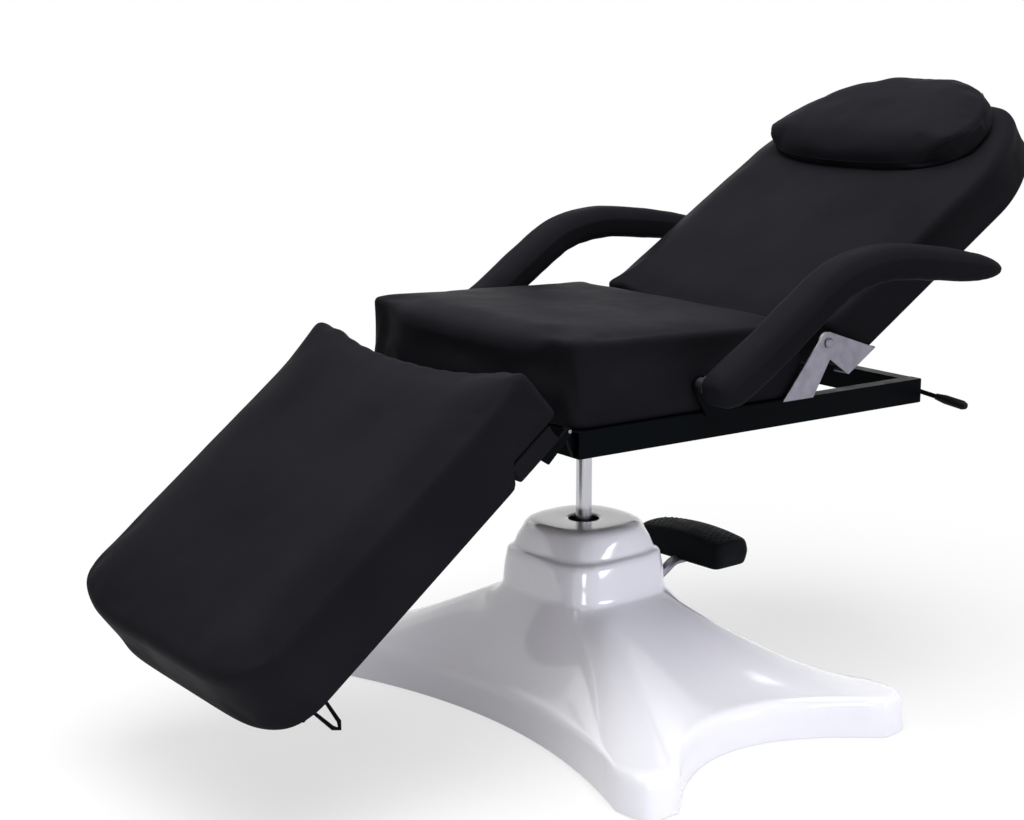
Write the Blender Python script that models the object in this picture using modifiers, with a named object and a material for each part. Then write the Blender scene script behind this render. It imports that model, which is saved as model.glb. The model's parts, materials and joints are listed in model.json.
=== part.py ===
"""Hydraulic treatment bed: leg rest, seat and back on a lifting, swivelling pedestal.

Metres, +Z up. The origin is on the floor under the lifting ram. +Y points to the head end and +X to
the side that carries the release lever. The bed is modelled as it stands in use: leg rest dropped,
back raised, ram up.
"""
import math

import bmesh
import bpy
from mathutils import Matrix, Vector

GAP = 0.0003  # between pieces that touch or run on each other

# Upholstery
PAD_HALF_WIDTH = 0.296
PAD_DRAW_IN = 0.003  # how far the sides pull in between their edges
PAD_CROWN = 0.007
EDGE_BOW = 0.023  # the seat front bows out, and the leg rest end is hollowed to match
BOW_HALF_WIDTH = 0.235
BOARD_THICKNESS = 0.012
BOARD_MARGIN = 0.016

# Frame
RAIL_OUTER = 0.300
RAIL_WIDTH = 0.025
RAIL_HEIGHT = 0.041
RAIL_BOTTOM = 0.503
RAIL_WALL = 0.002
RAIL_FRONT = -0.243
RAIL_HEAD = 0.4855
RAIL_CAP = 0.003
CROSS_HALF_SPACING = 0.145  # from the ram axis to each middle cross rail
RAIL_TOP = RAIL_BOTTOM + RAIL_HEIGHT
RAIL_INNER = RAIL_OUTER - RAIL_WIDTH

# Seat
SEAT_FRONT = -0.247
SEAT_REAR = 0.226
SEAT_CORNER = 0.022  # how far the front corners fall back
SEAT_THICKNESS = 0.1247
SEAT_BOTTOM = RAIL_TOP + GAP
SEAT_TOP = SEAT_BOTTOM + SEAT_THICKNESS

# Leg rest, in a frame on its hinge axis with -Y towards the foot end
LEG_DROP = math.radians(38.6)
LEG_HALF_WIDTH = 0.300
LEG_LENGTH = 0.626
LEG_END = 0.003
LEG_THICKNESS = 0.117
LEG_CORNER = 0.055
LEG_BOARD_MARGIN = 0.032
LEG_BOARD_CORNER = 0.045
BATTEN_LENGTH = 0.112
BATTEN_HEIGHT = 0.031
BATTEN_SLIT = 0.0025
HINGE_EYE = 0.0055
HINGE_PIN = 0.003
HINGE_REACH = 0.0115  # from the rail end to the hinge axis
EAR_THICKNESS = 0.008
EAR_CENTRE_X = 0.283
EAR_TOP = 0.014  # below the top of the rail
STRAP_THICKNESS = 0.005
STRAP_LENGTH = 0.064
STRAP_DEPTH = 0.012
LEG_UNDER = HINGE_EYE + GAP
LEG_HINGE_Y = RAIL_FRONT - HINGE_REACH
LEG_HINGE_Z = SEAT_TOP - LEG_THICKNESS - LEG_UNDER

# Back, in a frame on its hinge axis with +Y towards the head end
BACK_ANGLE = math.radians(32.5)
BACK_LOW = 0.016
BACK_LENGTH = 0.647
BACK_BOW = 0.030
BACK_FACE = 0.027
BACK_THICKNESS = 0.100
SHOULDER_START = 0.450
SHOULDER_DRAW = 0.100
BACK_BOARD_LOW = 0.050
BACK_BOARD_HEAD = 0.590
BACK_REAR = BACK_FACE - BACK_THICKNESS
BACK_PIVOT_Y = 0.262
BRACKET_RISE = 0.084
BACK_PIVOT_Z = RAIL_TOP + BRACKET_RISE
BRACKET_THICKNESS = 0.003
BRACKET_EYE = 0.018
BRACKET_FOOT = (0.165, 0.2315)  # along the rail
BRACKET_LAP = 0.002  # down the outer face of the rail
RIVET_RADIUS = 0.005
RIVET_HEAD = 0.0085
PLATE_TOE = 0.013  # reach of the back plate along the back
PLATE_HEEL = 0.084
FLANGE_WIDTH = 0.034

# Head pillow, on the back
PILLOW_LOW = 0.396
PILLOW_HEAD = 0.640
PILLOW_HALF_WIDTH = 0.232
PILLOW_SHIFT = 0.012  # it sits a little to one side
PILLOW_TAPER = 0.150
PILLOW_EDGE = 0.046
PILLOW_CROWN = 0.025
PILLOW_BOW = 0.045

# Armrests, in a frame on their pivots
ARM_CENTRE_X = 0.365
ARM_WIDTH = 0.070
ARM_THICKNESS = 0.060
ARM_PIVOT_Y = -0.012
ARM_PIVOT_Z = 0.591
ARM_BRACKET_THICKNESS = 0.004
ARM_EYE = 0.015
ARM_STUD = 0.006
ARM_STUD_DEPTH = 0.045  # how far the stud reaches into the armrest
ARM_WASHER = 0.020
ARM_WASHER_THICKNESS = 0.004
ARM_SPACER = 0.012
ARM_FOOT = (0.002, 0.052)  # along the rail
ARM_LAP = 0.004  # down the outer face of the rail
ARM_REACH = 0.598  # from the pivot to the tip
ARM_RISE = 0.171  # from the pivot to the middle of the bend
# heel, leg, bend, forearm and tip as shares of those two, with how full the pad is at each
ARM_SHAPE = (
    (-0.060, -0.088, 0.45),
    (-0.043, -0.053, 0.86),
    (-0.017, 0.018, 1.00),
    (0.140, 0.351, 1.00),
    (0.247, 0.608, 1.00),
    (0.380, 0.895, 1.00),
    (0.535, 1.000, 0.98),
    (0.712, 0.953, 0.95),
    (0.871, 0.871, 0.84),
    (0.962, 0.825, 0.60),
    (1.000, 0.807, 0.28),
)

# Back support strut, under the frame, and the slotted crank that it pushes
STRUT_X = 0.080
STRUT_TUBE = 0.011
STRUT_ROD = 0.005
STRUT_DROP = 0.0155  # axis below the frame
STRUT_REACH = 0.0075  # tube past each middle cross rail
STRUT_ENGAGED = 0.100  # rod inside the tube
STRUT_PIN = 0.004
STRUT_KNUCKLE = 0.008
CRANK_OFFSET = 0.001  # beside the tube
CRANK_THICKNESS = 0.008
CRANK_END = 0.0135
CRANK_PLAY = 0.0032
CRANK_FOOT = (0.052, 0.130)
CLAMP_WALL = 0.003
CLAMP_LENGTH = 0.013

# Ram and swivel
RAM_RADIUS = 0.0135
RAM_BOTTOM = 0.205
RAM_COLLAR = 0.023
RAM_COLLAR_HEIGHT = 0.008
WASHER_THICKNESS = 0.003
HUB_RADIUS = 0.028
HUB_HEIGHT = 0.041
SWIVEL_PLATE = 0.006
SWIVEL_HALF_WIDTH = 0.060
SWIVEL_BOTTOM = RAIL_BOTTOM - GAP - SWIVEL_PLATE
HUB_BOTTOM = SWIVEL_BOTTOM - GAP - HUB_HEIGHT

# Pedestal, turned a little from the bed
BASE_YAW = math.radians(4.0)
BASE_WAIST_X = 0.356
BASE_FOOT_X = 0.410
BASE_SPREAD_X = 0.118  # how far the feet reach past the waist
BASE_WAIST_Y = 0.207
BASE_FOOT_Y = 0.232
BASE_SPREAD_Y = 0.093
BASE_CORNER = 26.0  # higher is sharper
COVER_WALL = 0.004
COVER_LIFT = 0.001
COVER_SIDE = 0.066
COVER_STEPS = (6, 7)  # round a quarter of the cover, before and after the foot
COVER_RINGS = 6
TOWER_FOOT = 0.190
TOWER_STEP = 0.262
TOWER_TOP = 0.312
TOWER_FOOT_HALF = 0.120
TOWER_STEP_HALF = 0.108
TOWER_TOP_HALF = 0.0905
TOWER_SQUARENESS = 4.0
TOWER_TOP_SQUARENESS = 2.5
TOWER_HOLE = 0.0265
BASE_PLATE = 0.006
PLATE_CLEARANCE = 0.0021

# Hydraulic pump
RESERVOIR_RADIUS = 0.040
CYLINDER_RADIUS = 0.0235
CYLINDER_TOP = 0.286
CYLINDER_FLOOR = 0.018
GLAND_RADIUS = 0.0225
GLAND_HEIGHT = 0.014
PUMP_HALF_WIDTH = 0.028
PUMP_FAR = 0.142
PUMP_HEIGHT = 0.095
PEDAL_PIVOT_Y = 0.104
PEDAL_PIVOT_Z = 0.136
FULCRUM_EYE = 0.014
FULCRUM_PIN = 0.005
PEDAL_BAR = 0.009
PEDAL_HUB = 0.013
PEDAL_HUB_HALF = 0.012
PEDAL_CENTRE_Y = 0.262
PEDAL_REACH = 0.175
PEDAL_RISE = 0.060  # from the pivot to the bar under the pad
PEDAL_PAD = (0.212, 0.082, 0.058)
PEDAL_SINK = 0.009  # how far the pad sits down over its bar
PLUNGER_RADIUS = 0.007
PLUNGER_Y = 0.128
PLUNGER_LOW = 0.060
PLUNGER_TOP = 0.1339
FULCRUM_FOOT = 0.022
SLOT_HALF_WIDTH = 0.014
SLOT_LOW = 0.112

# Release lever, behind the head cross rail
LEVER_X = 0.215
LEVER_STAND_OFF = 0.0165
LEVER_Z = 0.524
LEVER_ROD = 0.004
LEVER_HUB = 0.009
LEVER_BOLT = 0.004
LEVER_TAIL = 0.060
LEVER_REACH = 0.108
LEVER_DROOP = math.radians(5.0)
GRIP_LENGTH = 0.066
GRIP_RADIUS = 0.0078
GRIP_NECK = 0.0055

# Pull loop under the leg rest
LOOP_WIRE = 0.0035
LOOP_X = 0.258
LOOP_INSET = 0.086  # from the foot end of the leg rest
LOOP_Y = LOOP_INSET - LEG_LENGTH
LOOP_HALF_WIDTH = 0.013
LOOP_TIP_HALF = 0.0065
LOOP_LENGTH = 0.064
LOOP_TRUNNION = 0.020
LOOP_HANG = math.radians(90.0)
CLIP_WALL = 0.003

SIDES = (("left", 1), ("right", -1))


# Scene, finishes and small helpers


def clear_scene():
    for item in list(bpy.data.objects):
        bpy.data.objects.remove(item, do_unlink=True)


def new_collection(name):
    group = bpy.data.collections.new(name)
    bpy.context.scene.collection.children.link(group)
    return group


def new_material(name, colour, roughness, metallic=0.0):
    finish = bpy.data.materials.new(name)
    finish.use_nodes = True
    shader = finish.node_tree.nodes["Principled BSDF"]
    shader.inputs["Base Color"].default_value = (*colour, 1.0)
    shader.inputs["Roughness"].default_value = roughness
    shader.inputs["Metallic"].default_value = metallic
    return finish


clear_scene()
PARTS = new_collection("treatment_bed")
CUTTERS = new_collection("treatment_bed_cutters")
VINYL = new_material("black_vinyl", (0.020, 0.019, 0.022), 0.45)
BLACK_STEEL = new_material("black_painted_steel", (0.006, 0.008, 0.010), 0.35, 0.2)
ZINC = new_material("zinc_plated_steel", (0.42, 0.41, 0.46), 0.35, 1.0)
CHROME = new_material("chrome", (0.75, 0.75, 0.77), 0.08, 1.0)
GLOSS_WHITE = new_material("gloss_white_plastic", (0.86, 0.86, 0.89), 0.12)
RUBBER = new_material("black_rubber", (0.012, 0.015, 0.016), 0.6)
PLYWOOD = new_material("plywood", (0.42, 0.29, 0.17), 0.7)
BLACK_PLASTIC = new_material("black_plastic", (0.010, 0.010, 0.011), 0.4)
BRONZE = new_material("bronze", (0.45, 0.30, 0.14), 0.35, 1.0)
STEEL = new_material("bare_steel", (0.40, 0.40, 0.42), 0.4, 1.0)


def new_empty(name, location=(0, 0, 0), rotation=(0, 0, 0), parent=None):
    frame = bpy.data.objects.new(name, None)
    PARTS.objects.link(frame)
    frame.parent = parent
    frame.location = location
    frame.rotation_euler = rotation
    return frame


PEDESTAL = new_empty("pedestal_axis", rotation=(0, 0, BASE_YAW))
LIFT = new_empty("lift_axis")
BED = new_empty("swivel_axis", parent=LIFT)
BACK = new_empty("back_hinge", (0, BACK_PIVOT_Y, BACK_PIVOT_Z), (BACK_ANGLE, 0, 0), BED)
LEG = new_empty("leg_hinge", (0, LEG_HINGE_Y, LEG_HINGE_Z), (LEG_DROP, 0, 0), BED)
ARMS = {side: new_empty(f"arm_pivot_{side}", (0, ARM_PIVOT_Y, ARM_PIVOT_Z), parent=BED) for side, _ in SIDES}
PEDAL = new_empty("pedal_pivot", (0, PEDAL_PIVOT_Y, PEDAL_PIVOT_Z), parent=PEDESTAL)
LEVER_Y = RAIL_HEAD + LEVER_STAND_OFF
LEVER = new_empty("lever_pivot", (LEVER_X, LEVER_Y, LEVER_Z), (0, LEVER_DROOP, 0), BED)
LOOP_Z = LEG_UNDER - GAP - CLIP_WALL - GAP - LOOP_WIRE
LOOP = new_empty("loop_hinge", (LOOP_X, LOOP_Y, LOOP_Z), (0, LOOP_HANG, 0), LEG)


def show(item, finish, parent, location=(0, 0, 0), rotation=(0, 0, 0)):
    """Adds a piece to the model."""
    PARTS.objects.link(item)
    item.data.materials.append(finish)
    item.parent = parent
    item.location = location
    item.rotation_euler = rotation
    return item


def aside(item, parent, location=(0, 0, 0), rotation=(0, 0, 0)):
    """Keeps a shape as a cutter or guide only."""
    CUTTERS.objects.link(item)
    item.parent = parent
    item.location = location
    item.rotation_euler = rotation
    item.hide_render = True
    item.display_type = "WIRE"
    return item


def combine(item, other, operation):
    change = item.modifiers.new(operation.lower(), "BOOLEAN")
    change.operation = operation
    change.object = other


def bevel(item, width, segments=2):
    rounding = item.modifiers.new("rounding", "BEVEL")
    rounding.width = width
    rounding.segments = segments
    rounding.limit_method = "ANGLE"


def object_from(name, shape):
    mesh = bpy.data.meshes.new(name)
    shape.to_mesh(mesh)
    shape.free()
    return bpy.data.objects.new(name, mesh)


def smooth(item, angle=40):
    item.data.shade_smooth()
    item.data.set_sharp_from_angle(angle=math.radians(angle))


def box(name, low, high):
    size = Vector(high) - Vector(low)
    centre = (Vector(high) + Vector(low)) / 2
    shape = bmesh.new()
    place = Matrix.Translation(centre) @ Matrix.Diagonal((*size, 1.0))
    bmesh.ops.create_cube(shape, size=1.0, matrix=place)
    return object_from(name, shape)


def rod(name, radius, start, end, sides=24):
    start = Vector(start)
    end = Vector(end)
    along = end - start
    turn = along.to_track_quat("Z", "Y").to_matrix().to_4x4()
    shape = bmesh.new()
    bmesh.ops.create_cone(
        shape,
        cap_ends=True,
        segments=sides,
        radius1=radius,
        radius2=radius,
        depth=along.length,
        matrix=Matrix.Translation((start + end) / 2) @ turn,
    )
    item = object_from(name, shape)
    smooth(item)
    return item


def turned(name, profile, closed=True, steps=32):
    """A profile of (radius, height) points, listed down its outer side, turned about Z."""
    shape = bmesh.new()
    points = [shape.verts.new((radius, 0.0, height)) for radius, height in profile]
    for first, second in zip(points, points[1:]):
        shape.edges.new((first, second))
    if closed:
        shape.edges.new((points[-1], points[0]))
    item = object_from(name, shape)
    screw = item.modifiers.new("turned", "SCREW")
    screw.axis = "Z"
    screw.angle = 2 * math.pi
    screw.steps = steps
    screw.render_steps = steps
    screw.use_merge_vertices = True
    screw.merge_threshold = 0.00001
    screw.use_smooth_shade = False
    return item


def ring(name, outer, inner, low, high, steps=32):
    return turned(name, ((outer, high), (outer, low), (inner, low), (inner, high)), steps=steps)


def solid_from(curve_object):
    """Turns a curve object into a welded mesh object of the same name."""
    CUTTERS.objects.link(curve_object)
    bpy.context.view_layer.update()
    name = curve_object.name
    seen = curve_object.evaluated_get(bpy.context.evaluated_depsgraph_get())
    mesh = bpy.data.meshes.new_from_object(seen)
    bpy.data.objects.remove(curve_object, do_unlink=True)
    shape = bmesh.new()
    shape.from_mesh(mesh)
    bpy.data.meshes.remove(mesh)
    bmesh.ops.remove_doubles(shape, verts=shape.verts, dist=0.00001)
    bmesh.ops.recalc_face_normals(shape, faces=shape.faces)
    if shape.calc_volume(signed=True) < 0:
        bmesh.ops.reverse_faces(shape, faces=shape.faces)
    return object_from(name, shape)


def plate(name, outlines, thickness):
    """A flat piece from its outline and the outlines of its holes."""
    curve = bpy.data.curves.new(name, "CURVE")
    curve.dimensions = "2D"
    curve.fill_mode = "BOTH"
    curve.extrude = thickness / 2
    for outline in outlines:
        spline = curve.splines.new("POLY")
        spline.points.add(len(outline) - 1)
        spline.use_cyclic_u = True
        for point, (across, up) in zip(spline.points, outline):
            point.co = (across, up, 0.0, 1.0)
    return solid_from(bpy.data.objects.new(name, curve))


UPRIGHT = (math.pi / 2, 0, math.pi / 2)  # stands a flat piece in the YZ plane
ALONG_X = (math.pi / 2, 0, math.pi / 2)  # turns an extrusion along X
ALONG_Y = (math.pi / 2, 0, 0)


def wire(name, points, radius, sides=2):
    curve = bpy.data.curves.new(name, "CURVE")
    curve.dimensions = "3D"
    curve.bevel_depth = radius
    curve.bevel_resolution = sides
    curve.use_fill_caps = True
    spline = curve.splines.new("POLY")
    spline.points.add(len(points) - 1)
    for point, place in zip(spline.points, points):
        point.co = (*place, 1.0)
    return solid_from(bpy.data.objects.new(name, curve))


def circle(centre, radius, sides=24):
    turns = [2 * math.pi * step / sides for step in range(sides)]
    return [(centre[0] + radius * math.cos(turn), centre[1] + radius * math.sin(turn)) for turn in turns]


def arc(centre, radius, start, end, steps):
    turns = [start + (end - start) * step / steps for step in range(steps + 1)]
    return [(centre[0] + radius * math.cos(turn), centre[1] + radius * math.sin(turn)) for turn in turns]


def rectangle(low, high):
    return [low, (high[0], low[1]), high, (low[0], high[1])]


def slot(start, end, radius, steps=8):
    """A long round-ended outline between two centres."""
    heading = math.atan2(end[1] - start[1], end[0] - start[0])
    near = arc(start, radius, heading + math.pi / 2, heading + 1.5 * math.pi, steps)
    far = arc(end, radius, heading - math.pi / 2, heading + math.pi / 2, steps)
    return near + far


def eye_outline(first, second, eye, radius, steps=14):
    """An arm from a straight foot, first to second, to a round eye, listed anticlockwise."""

    def tangent(point, sense):
        away = Vector(point) - Vector(eye)
        return math.atan2(away.y, away.x) + sense * math.acos(radius / away.length)

    start = tangent(second, 1)
    end = tangent(first, -1)
    while end < start:
        end += 2 * math.pi
    return [first, second] + arc(eye, radius, start, end, steps)


def smooth_path(points, steps):
    """Points on a smooth curve through the given ones."""
    ends = [Vector(points[0]) * 2 - Vector(points[1])]
    ends += [Vector(point) for point in points]
    ends += [Vector(points[-1]) * 2 - Vector(points[-2])]
    path = []
    for before, first, second, after in zip(ends, ends[1:], ends[2:], ends[3:]):
        for step in range(steps):
            share = step / steps
            bend = (second - before) * share
            bend += (before * 2 - first * 5 + second * 4 - after) * share**2
            bend += (first * 3 - before - second * 3 + after) * share**3
            path.append(first + bend / 2)
    return path + [ends[-2]]


# Upholstery


def bow(across):
    """Full in the middle of the bed and nothing at its corners."""
    return max(0.0, 1.0 - abs(across / BOW_HALF_WIDTH) ** 2.5)


def pad(name, stations, form):
    """A soft pad: a cube cut at the stations, shaped by form(u, v, w) and smoothed."""
    shape = bmesh.new()
    bmesh.ops.create_cube(shape, size=2.0)
    for axis, cuts in enumerate(stations):
        normal = Vector([float(axis == index) for index in range(3)])
        for cut in cuts:
            everything = shape.verts[:] + shape.edges[:] + shape.faces[:]
            bmesh.ops.bisect_plane(shape, geom=everything, plane_co=normal * cut, plane_no=normal)
    for vertex in shape.verts:
        vertex.co = form(*vertex.co)
    item = object_from(name, shape)
    item.data.shade_smooth()
    rounding = item.modifiers.new("soft", "SUBSURF")
    rounding.levels = 1
    rounding.render_levels = 1
    return item


ACROSS = (-0.96, -0.62, -0.3, 0.0, 0.3, 0.62, 0.96)
ALONG = (-0.95, -0.45, 0.05, 0.5, 0.95)
THROUGH = (-0.82, 0.68)


def crown(u, v, w, height):
    return height * (1 - u**4) * (1 - v**4) * (w > 0.99)


def drawn_in(w):
    return PAD_DRAW_IN * (1 - w * w)


def seat_form(u, v, w):
    x = u * (PAD_HALF_WIDTH - drawn_in(w))
    front = SEAT_FRONT - EDGE_BOW * bow(x) + SEAT_CORNER * abs(u) ** 8 + drawn_in(w)
    rear = SEAT_REAR - drawn_in(w)
    y = front + (rear - front) * (v + 1) / 2
    z = SEAT_BOTTOM + SEAT_THICKNESS * (w + 1) / 2 + crown(u, v, w, PAD_CROWN)
    return (x, y, z)


def leg_form(u, v, w):
    x = u * (LEG_HALF_WIDTH - drawn_in(w))
    hinge_end = LEG_END - EDGE_BOW * bow(x) - drawn_in(w)
    foot_end = drawn_in(w) + LEG_CORNER * abs(u) ** 6 - LEG_LENGTH
    y = foot_end + (hinge_end - foot_end) * (v + 1) / 2
    z = LEG_UNDER + LEG_THICKNESS * (w + 1) / 2 + crown(u, v, w, PAD_CROWN)
    return (x, y, z)


def back_half_width(y):
    past = max(0.0, y - SHOULDER_START) / (BACK_LENGTH - SHOULDER_START)
    return PAD_HALF_WIDTH - SHOULDER_DRAW * past**1.6


def back_form(u, v, w):
    low_end = BACK_LOW - BACK_BOW * bow(u * PAD_HALF_WIDTH) + drawn_in(w)
    head_end = BACK_LENGTH - drawn_in(w)
    y = low_end + (head_end - low_end) * (v + 1) / 2
    x = u * (back_half_width(y) - drawn_in(w))
    z = BACK_REAR + BACK_THICKNESS * (w + 1) / 2 + crown(u, v, w, PAD_CROWN)
    return (x, y, z)


PILLOW_SEAT = BACK_FACE + PAD_CROWN + GAP


def pillow_form(u, v, w):
    low_end = PILLOW_LOW + PILLOW_BOW * abs(u) ** 3
    y = low_end + (PILLOW_HEAD - low_end) * (v + 1) / 2
    past = (y - PILLOW_LOW) / (PILLOW_HEAD - PILLOW_LOW)
    x = PILLOW_SHIFT + u * (PILLOW_HALF_WIDTH - PILLOW_TAPER * max(0.0, past) ** 4)
    swell = PILLOW_EDGE * (w + 1) / 2 + PILLOW_CROWN * (1 - u**4) * (1 - v * v) * (w > 0.99)
    return (x, y, PILLOW_SEAT + swell)


def let_in(cushion, name, outline, low, parent):
    """A plywood board let into the underside of a cushion; outline(extra) gives its edge."""
    board = plate(f"{name}_board", [outline(0.0)], BOARD_THICKNESS)
    show(board, PLYWOOD, parent, (0, 0, low + BOARD_THICKNESS / 2))
    room = plate(f"{name}_board_room", [outline(GAP)], 2 * (BOARD_THICKNESS + GAP))
    combine(cushion, aside(room, parent, (0, 0, low)), "DIFFERENCE")


def make_seat():
    cushion = pad("seat_cushion", (ACROSS, ALONG, THROUGH), seat_form)
    show(cushion, VINYL, BED)

    def outline(extra):
        half = PAD_HALF_WIDTH - BOARD_MARGIN + extra
        front = SEAT_FRONT + BOARD_MARGIN - extra
        rear = SEAT_REAR - BOARD_MARGIN + extra
        return rectangle((-half, front), (half, rear))

    let_in(cushion, "seat", outline, SEAT_BOTTOM, BED)


def make_leg():
    cushion = pad("leg_cushion", (ACROSS, ALONG, THROUGH), leg_form)
    show(cushion, VINYL, LEG)
    half = LEG_HALF_WIDTH - PAD_DRAW_IN
    low = (-half, -BATTEN_LENGTH, LEG_UNDER)
    high = (half, LEG_END - EDGE_BOW - GAP, LEG_UNDER + BATTEN_HEIGHT)
    batten = box("leg_hinge_batten", low, high)
    bevel(batten, 0.003)
    show(batten, VINYL, LEG)
    past = 0.05
    notch_low = (-half - past, -BATTEN_LENGTH - GAP, LEG_UNDER - past)
    notch_high = (half + past, LEG_END + past, LEG_UNDER + BATTEN_HEIGHT + BATTEN_SLIT)
    combine(cushion, aside(box("leg_notch", notch_low, notch_high), LEG), "DIFFERENCE")

    def outline(extra):
        half = PAD_HALF_WIDTH - BOARD_MARGIN + extra
        foot = LEG_BOARD_MARGIN - LEG_LENGTH - extra
        hinge = extra - BATTEN_LENGTH - BOARD_MARGIN
        corner = LEG_BOARD_CORNER
        return [
            (-half, hinge),
            (-half, foot + corner),
            (corner - half, foot),
            (half - corner, foot),
            (half, foot + corner),
            (half, hinge),
        ]

    let_in(cushion, "leg", outline, LEG_UNDER, LEG)


def make_back():
    cushion = pad("back_cushion", (ACROSS, ALONG, THROUGH), back_form)
    show(cushion, VINYL, BACK)

    def outline(extra):
        half = PAD_HALF_WIDTH - BOARD_MARGIN + extra
        low = BACK_BOARD_LOW - extra
        head = BACK_BOARD_HEAD + extra
        head_half = back_half_width(BACK_BOARD_HEAD) - 2 * BOARD_MARGIN + extra
        return [
            (-half, low),
            (half, low),
            (half, SHOULDER_START),
            (head_half, head),
            (-head_half, head),
            (-half, SHOULDER_START),
        ]

    let_in(cushion, "back", outline, BACK_REAR, BACK)
    cuts = ((-0.9, -0.45, 0.0, 0.45, 0.9), (-0.8, 0.0, 0.8), (-0.2, 0.45))
    show(pad("head_pillow", cuts, pillow_form), VINYL, BACK)


def make_armrest(side, sign):
    profile = bpy.data.curves.new(f"arm_section_{side}", "CURVE")
    profile.dimensions = "2D"
    spline = profile.splines.new("POLY")
    count = 14
    spline.points.add(count - 1)
    spline.use_cyclic_u = True
    for index, point in enumerate(spline.points):
        turn = 2 * math.pi * (index + 0.5) / count
        across = math.copysign(abs(math.cos(turn)) ** 0.75, math.cos(turn)) * ARM_THICKNESS / 2
        up = math.copysign(abs(math.sin(turn)) ** 0.75, math.sin(turn)) * ARM_WIDTH / 2
        point.co = (across, up, 0.0, 1.0)
    guide = aside(bpy.data.objects.new(f"arm_section_{side}", profile), None)
    curve = bpy.data.curves.new(f"armrest_{side}", "CURVE")
    curve.dimensions = "3D"
    curve.twist_mode = "Z_UP"
    curve.bevel_mode = "OBJECT"
    curve.bevel_object = guide
    curve.use_fill_caps = True
    path = smooth_path([(along * ARM_REACH, up * ARM_RISE, fullness) for along, up, fullness in ARM_SHAPE], 3)
    spline = curve.splines.new("POLY")
    spline.points.add(len(path) - 1)
    for point, (y, z, fullness) in zip(spline.points, path):
        point.co = (y, z, 0.0, 1.0)
        point.radius = fullness
    padded = solid_from(bpy.data.objects.new(f"armrest_{side}", curve))
    smooth(padded, 60)
    show(padded, VINYL, ARMS[side], (sign * ARM_CENTRE_X, 0, 0), UPRIGHT)
    inner = sign * (ARM_CENTRE_X - ARM_WIDTH)
    bore_end = sign * (ARM_CENTRE_X - ARM_WIDTH / 2 + ARM_STUD_DEPTH + GAP)
    bore = rod(f"arm_bore_{side}", ARM_STUD + GAP, (inner, 0, 0), (bore_end, 0, 0))
    combine(padded, aside(bore, ARMS[side]), "DIFFERENCE")


# Frame


def rail_section(name, length, width):
    """A rectangular tube, extruded along its own Z."""
    half = (width / 2, RAIL_HEIGHT / 2)
    inside = (half[0] - RAIL_WALL, half[1] - RAIL_WALL)
    outlines = [rectangle((-half[0], -half[1]), half), rectangle((-inside[0], -inside[1]), inside)]
    return plate(name, outlines, length)


def make_rails():
    middle = (RAIL_TOP + RAIL_BOTTOM) / 2
    centre_x = RAIL_OUTER - RAIL_WIDTH / 2
    for side, sign in SIDES:
        rail = rail_section(f"side_rail_{side}", RAIL_HEAD - RAIL_FRONT, RAIL_WIDTH)
        show(rail, BLACK_STEEL, BED, (sign * centre_x, (RAIL_HEAD + RAIL_FRONT) / 2, middle), ALONG_Y)
        inner_x, outer_x = sorted((sign * RAIL_INNER, sign * RAIL_OUTER))
        cap_low = (inner_x, RAIL_HEAD + GAP, RAIL_BOTTOM)
        cap = box(f"rail_cap_{side}", cap_low, (outer_x, RAIL_HEAD + GAP + RAIL_CAP, RAIL_TOP))
        bevel(cap, 0.001, 1)
        show(cap, BLACK_PLASTIC, BED)
    places = {
        "front": RAIL_FRONT + RAIL_WIDTH / 2,
        "middle_front": -CROSS_HALF_SPACING,
        "middle_rear": CROSS_HALF_SPACING,
        "head": RAIL_HEAD - RAIL_WIDTH / 2,
    }
    for place, y in places.items():
        rail = rail_section(f"cross_rail_{place}", 2 * (RAIL_INNER - GAP), RAIL_WIDTH)
        show(rail, BLACK_STEEL, BED, (0, y, middle), ALONG_X)


def make_swivel():
    half_length = CROSS_HALF_SPACING + RAIL_WIDTH / 2
    low = (-SWIVEL_HALF_WIDTH, -half_length, SWIVEL_BOTTOM)
    top_plate = box("swivel_plate", low, (SWIVEL_HALF_WIDTH, half_length, SWIVEL_BOTTOM + SWIVEL_PLATE))
    bevel(top_plate, 0.0015, 1)
    show(top_plate, BLACK_STEEL, BED)
    bore = RAM_RADIUS + GAP
    hub = ring("swivel_hub", HUB_RADIUS, bore, HUB_BOTTOM, HUB_BOTTOM + HUB_HEIGHT)
    show(hub, BLACK_STEEL, BED)
    washer_low = HUB_BOTTOM - GAP - WASHER_THICKNESS
    show(ring("thrust_washer", HUB_RADIUS, bore, washer_low, washer_low + WASHER_THICKNESS), BRONZE, LIFT)
    collar_top = washer_low - GAP
    collar_low = collar_top - RAM_COLLAR_HEIGHT
    ram_top = SWIVEL_BOTTOM - 2 * GAP
    chamfer = 0.002
    profile = (
        (0.0, ram_top),
        (RAM_RADIUS, ram_top),
        (RAM_RADIUS, collar_top),
        (RAM_COLLAR, collar_top),
        (RAM_COLLAR, collar_low),
        (RAM_RADIUS, collar_low),
        (RAM_RADIUS, RAM_BOTTOM + chamfer),
        (RAM_RADIUS - chamfer, RAM_BOTTOM),
        (0.0, RAM_BOTTOM),
    )
    show(turned("lift_ram", profile, closed=False), CHROME, LIFT)


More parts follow.
